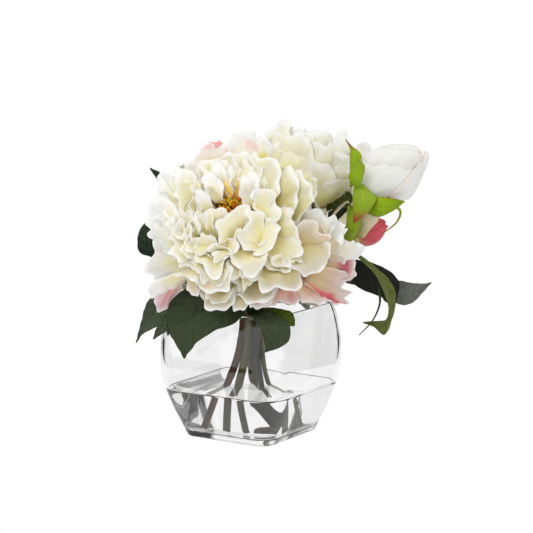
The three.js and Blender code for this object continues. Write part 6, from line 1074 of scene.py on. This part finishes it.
for name, r, look, head, lp, vp in STEMS:
    path = []
    if head == "front":
        path += [FRONT.O - 52.6 * FRONT.A, FRONT.O - 60 * FRONT.A]
    if head == "back":
        path += [BACK.O - 41.6 * BACK.A, BACK.O - 50 * BACK.A]
    path += [lean(q) for q in lp] + [level(q) for q in vp]
    c1, c2 = STEM_LOOKS[look]
    s1 = rng.uniform(0, 6)

    def rad(t, r=r, s1=s1):
        node_at = math.exp(-((t - 0.46) / 0.022) ** 2) + 0.8 * math.exp(-((t - 0.74) / 0.02) ** 2)
        return r * (0.93 + 0.03 * math.sin(9 * t + s1) + 0.11 * node_at)

    def paint(t, a, c1=c1, c2=c2, s1=s1):
        k = 0.5 + 0.5 * math.sin(3 * a + s1 + 2 * t)
        return mixc(c1, c2, 0.65 * k + 0.3 * math.exp(-((t - 0.46) / 0.03) ** 2))

    sk = Skin()
    tube(sk, path, rad, 28, paint, s1 * 5, ns=90)
    if head:
        f, prof = HEADS[head]
        a = np.linspace(0, 2 * np.pi, 48, endpoint=False)
        rings = np.array([[f.O + f.A * h + f.dir(90, x / D2R) * q * (1 + (0.05 * math.sin(5 * x) if q > 5 else 0)) for x in a] for q, h in prof])
        sk.loft(rings, srgb(150, 164, 70), np.zeros(3))
    sk.build(name + "_stalk", STEM, {"green": "stem_green", "dark": "stem_dark", "brown": "stem_brown"}[look], [name])

# ------------------------------------------------------------------ vase and water
VASE_PROFILE = [[0.0, 39.1, 11.1], [10.2, 43.8, 15.2], [20.4, 48.4, 18.4], [30.6, 52.1, 20.3], [40.8, 54.7, 20.5],
                [51.0, 56.0, 20.1], [61.2, 56.4, 19.2], [71.4, 55.9, 17.5], [81.6, 54.4, 15.2], [91.7, 52.0, 11.8], [101.9, 48.2, 7.3]]
VZ = np.array([p[0] for p in VASE_PROFILE])


def spline(xs, ys, x):
    """Smooth curve through the profile (natural Catmull-Rom slopes)."""
    m = np.gradient(ys, xs)
    i = np.clip(np.searchsorted(xs, x) - 1, 0, len(xs) - 2)
    h = xs[i + 1] - xs[i]
    s = np.clip((x - xs[i]) / h, 0, 1)
    return ((2 * s ** 3 - 3 * s ** 2 + 1) * ys[i] + (s ** 3 - 2 * s ** 2 + s) * h * m[i]
            + (-2 * s ** 3 + 3 * s ** 2) * ys[i + 1] + (s ** 3 - s ** 2) * h * m[i + 1])


VW, VR = np.array([p[1] for p in VASE_PROFILE]), np.array([p[2] for p in VASE_PROFILE])


def outline(ang, w, r):
    c, s = np.abs(np.cos(ang)), np.abs(np.sin(ang))
    t = w / np.maximum(c, s)
    k = w - r
    b = k * (c + s)
    q = 2 * k * k - r * r
    rounded = b + np.sqrt(np.maximum(b * b - q, 0))
    return np.where(t * np.minimum(c, s) <= w - r, t, rounded)


def vase_ring(z, inset, share=1.0, n=192):
    ang = 2 * np.pi * (np.arange(n) + 0.5) / n
    w, r = float(spline(VZ, VW, z)), float(spline(VZ, VR, z))
    d = share * outline(ang, w - inset, max(r - inset, 3))
    return np.stack([d * np.cos(ang), d * np.sin(ang), np.full(n, z)], -1)


def wall(z):
    return 2.8 + 1.6 * max(0.0, 1 - z / 26)


GLASS = clear("clear_glass", 1.50, 0.0, (1, 1, 1))
WATER = clear("clear_water", 1.33, 0.0, (1, 1, 1))
rings = [vase_ring(0.05, 0, 0.02), vase_ring(0, 1.6, 0.93), vase_ring(0.0, 1.0, 0.985), vase_ring(0.35, 0.35), vase_ring(0.9, 0.1)]
rings += [vase_ring(z, 0) for z in np.linspace(2.5, 100.3, 54)]
rings += [vase_ring(100.9, 0.12), vase_ring(101.5, 0.5), vase_ring(101.85, 1.0), vase_ring(101.9, 1.4), vase_ring(101.85, 1.8), vase_ring(101.5, 2.3), vase_ring(100.9, 2.68)]
rings += [vase_ring(z, wall(z)) for z in np.linspace(100.3, 10.2, 50)]
rings += [vase_ring(8.6, 4.1), vase_ring(7.3, 4.7), vase_ring(6.4, 5.6), vase_ring(5.8, 7.0), vase_ring(5.6, 8.6), vase_ring(5.6, 8.6, 0.5), vase_ring(5.6, 8.6, 0.02)]
sk = Skin()
sk.loft(np.array(rings), np.ones(3), np.zeros(3))
sk.build("vase_glass_body", GLASS, "vase_glass", ["vase"])
WL = 38.2
G = -0.10   # the water wets the glass: no air between them
rings = [vase_ring(5.6 + G, 8.6, 0.02), vase_ring(5.6 + G, 8.6, 0.5), vase_ring(5.6 + G, 8.6 + G), vase_ring(5.9 + G, 7.0 + G), vase_ring(6.5 + G, 5.6 + G), vase_ring(7.4, 4.7 + G), vase_ring(8.7, 4.1 + G)]
rings += [vase_ring(z, wall(z) + G) for z in np.linspace(10.2, WL + 0.9, 20)]
rings += [vase_ring(WL + 0.75, wall(WL) + 0.5), vase_ring(WL + 0.35, wall(WL) + 1.0), vase_ring(WL + 0.1, wall(WL) + 2.0), vase_ring(WL, wall(WL) + 3.4), vase_ring(WL, wall(WL) + 3.4, 0.5), vase_ring(WL, wall(WL) + 3.4, 0.02)]
sk = Skin()
sk.loft(np.array(rings), np.ones(3), np.zeros(3))
sk.build("water_body", WATER, "water", ["water"])

# ------------------------------------------------------------------ floor, light, camera
scene = bpy.context.scene
scene.view_settings.view_transform = "Standard"
scene.view_settings.look = "None"
scene.cycles.max_bounces = 14
scene.cycles.diffuse_bounces = 10
scene.cycles.transmission_bounces = 12
scene.cycles.transparent_max_bounces = 8
scene.cycles.caustics_refractive = True
scene.cycles.caustics_reflective = False


def camera_split(nt, seen, through, lit):
    """Backdrop brightness: as seen, as seen through or in glass, and as it lights the object."""
    lp = nt.nodes.new("ShaderNodeLightPath")
    a = nt.nodes.new("ShaderNodeMix")
    b = nt.nodes.new("ShaderNodeMix")
    nt.links.new(lp.outputs["Is Diffuse Ray"], a.inputs[0])
    a.inputs[2].default_value = through
    a.inputs[3].default_value = lit
    nt.links.new(lp.outputs["Is Camera Ray"], b.inputs[0])
    nt.links.new(a.outputs[0], b.inputs[2])
    b.inputs[3].default_value = seen
    return b.outputs[0]


world = bpy.data.worlds.new("studio")
scene.world = world
world.use_nodes = True
bg = next(n for n in world.node_tree.nodes if n.type == "BACKGROUND")
bg.inputs["Color"].default_value = (1, 1, 1, 1)
world.node_tree.links.new(camera_split(world.node_tree, 1.0, 0.93, 0.90), bg.inputs["Strength"])

fm, fnt, fb = new_material("pale_floor")
fb.inputs["Base Color"].default_value = (0.86, 0.86, 0.86, 1)
fb.inputs["Roughness"].default_value = 0.9
fb.inputs["Specular IOR Level"].default_value = 0.0
em = fnt.nodes.new("ShaderNodeEmission")
em.inputs["Color"].default_value = (1, 1, 1, 1)
fnt.links.new(camera_split(fnt, 1.0, 0.93, 0.90), em.inputs["Strength"])
mxs = fnt.nodes.new("ShaderNodeMixShader")
lp = fnt.nodes.new("ShaderNodeLightPath")
out = next(n for n in fnt.nodes if n.type == "OUTPUT_MATERIAL")
mxs.inputs[0].default_value = 1.0
fnt.links.new(fb.outputs[0], mxs.inputs[1])
fnt.links.new(em.outputs[0], mxs.inputs[2])
fnt.links.new(mxs.outputs[0], out.inputs["Surface"])
bpy.ops.mesh.primitive_plane_add(size=14, location=(0, 0, 0))
floor = bpy.context.object
floor.name = "floor"
floor.data.materials.append(fm)


def area(name, at, size, power, to=(0, 0, 0.13)):
    la = bpy.data.lights.new(name, "AREA")
    la.shape = "DISK"
    la.size = size
    la.energy = power
    ob = bpy.data.objects.new(name, la)
    scene.collection.objects.link(ob)
    p = np.array(at)
    z = unit(p - np.array(to))
    x = unit(np.cross([0, 0, 1.0], z))
    y = np.cross(z, x)
    ob.matrix_world = Matrix([[x[0], y[0], z[0], p[0]], [x[1], y[1], z[1], p[1]], [x[2], y[2], z[2], p[2]], [0, 0, 0, 1]])
    return ob


def at_view(right, up, toward):
    return tuple((RIGHT * right + np.array([0, 0, 1.0]) * up + LEVEL_FRONT * toward).tolist())


area("key", at_view(-0.5, 1.3, 0.7), 0.8, 4.9)


def card(name, at, size, dark):
    """A dark studio card beside the glass: it draws the edges of the glass."""
    m, nt, b = new_material(name)
    b.inputs["Base Color"].default_value = (dark, dark, dark, 1)
    b.inputs["Roughness"].default_value = 1.0
    b.inputs["Specular IOR Level"].default_value = 0.0
    bpy.ops.mesh.primitive_plane_add(size=1, location=at)
    ob = bpy.context.object
    ob.name = name
    p = np.array(at)
    z = unit(np.array([0, 0, p[2]]) - p)
    x = unit(np.cross([0, 0, 1.0], z))
    y = np.cross(z, x)
    s = size
    ob.matrix_world = Matrix([[x[0] * s[0], y[0] * s[1], z[0], p[0]], [x[1] * s[0], y[1] * s[1], z[1], p[1]], [x[2] * s[0], y[2] * s[1], z[2], p[2]], [0, 0, 0, 1]])
    ob.data.materials.append(m)
    ob.visible_camera = False
    ob.visible_diffuse = False
    ob.visible_shadow = False
    return ob


card("dark_card_left", at_view(-0.77, 0.22, -0.10), (0.58, 0.50), 0.02)
card("dark_card_right", at_view(0.66, 0.22, -0.42), (0.60, 0.50), 0.02)
card("dark_card_front", at_view(0.0, 0.55, 2.1), (3.4, 1.9), 0.06).visible_transmission = False

def floor_card(name, side):
    """Dark card flat on the floor: met in the bent rays of the glass, clear where one looks straight through the empty vase."""
    m, nt, b = new_material(name)
    b.inputs["Base Color"].default_value = (0.02, 0.016, 0.01, 1)
    b.inputs["Roughness"].default_value = 1.0
    b.inputs["Specular IOR Level"].default_value = 0.0
    lp = node(nt, "ShaderNodeLightPath")
    straight = node(nt, "ShaderNodeMath", operation="COMPARE")
    straight.inputs[1].default_value = 4.5
    straight.inputs[2].default_value = 1.0
    nt.links.new(lp.outputs["Transmission Depth"], straight.inputs[0])
    mix = node(nt, "ShaderNodeMixShader")
    nt.links.new(straight.outputs[0], mix.inputs[0])
    nt.links.new(b.outputs[0], mix.inputs[1])
    nt.links.new(node(nt, "ShaderNodeBsdfTransparent").outputs[0], mix.inputs[2])
    out = next(n for n in nt.nodes if n.type == "OUTPUT_MATERIAL")
    nt.links.new(mix.outputs[0], out.inputs["Surface"])
    bpy.ops.mesh.primitive_plane_add(size=1, location=(0, 0, 0))
    ob = bpy.context.object
    ob.name = name
    at = RIGHT * side * 0.50 - LEVEL_FRONT * 0.16
    x, y = RIGHT * 0.50, LEVEL_FRONT * 0.75
    ob.matrix_world = Matrix([[x[0], y[0], 0, at[0]], [x[1], y[1], 0, at[1]], [0, 0, 1, 0.0015], [0, 0, 0, 1]])
    ob.data.materials.append(m)
    ob.visible_camera = False
    ob.visible_diffuse = False
    ob.visible_shadow = False


floor_card("low_card_left", -1)
floor_card("low_card_right", 1)

cam = bpy.data.cameras.new("camera")
cam.sensor_width = 36
cam.lens = 135.1
cam.clip_start = 0.05
cam.clip_end = 60
co = bpy.data.objects.new("camera", cam)
scene.collection.objects.link(co)
p = (0.8407, -1.2916, 0.3722)
co.matrix_world = Matrix([[RIGHT[0], UP[0], TOWARD[0], p[0]], [RIGHT[1], UP[1], TOWARD[1], p[1]], [RIGHT[2], UP[2], TOWARD[2], p[2]], [0, 0, 0, 1]])
scene.camera = co
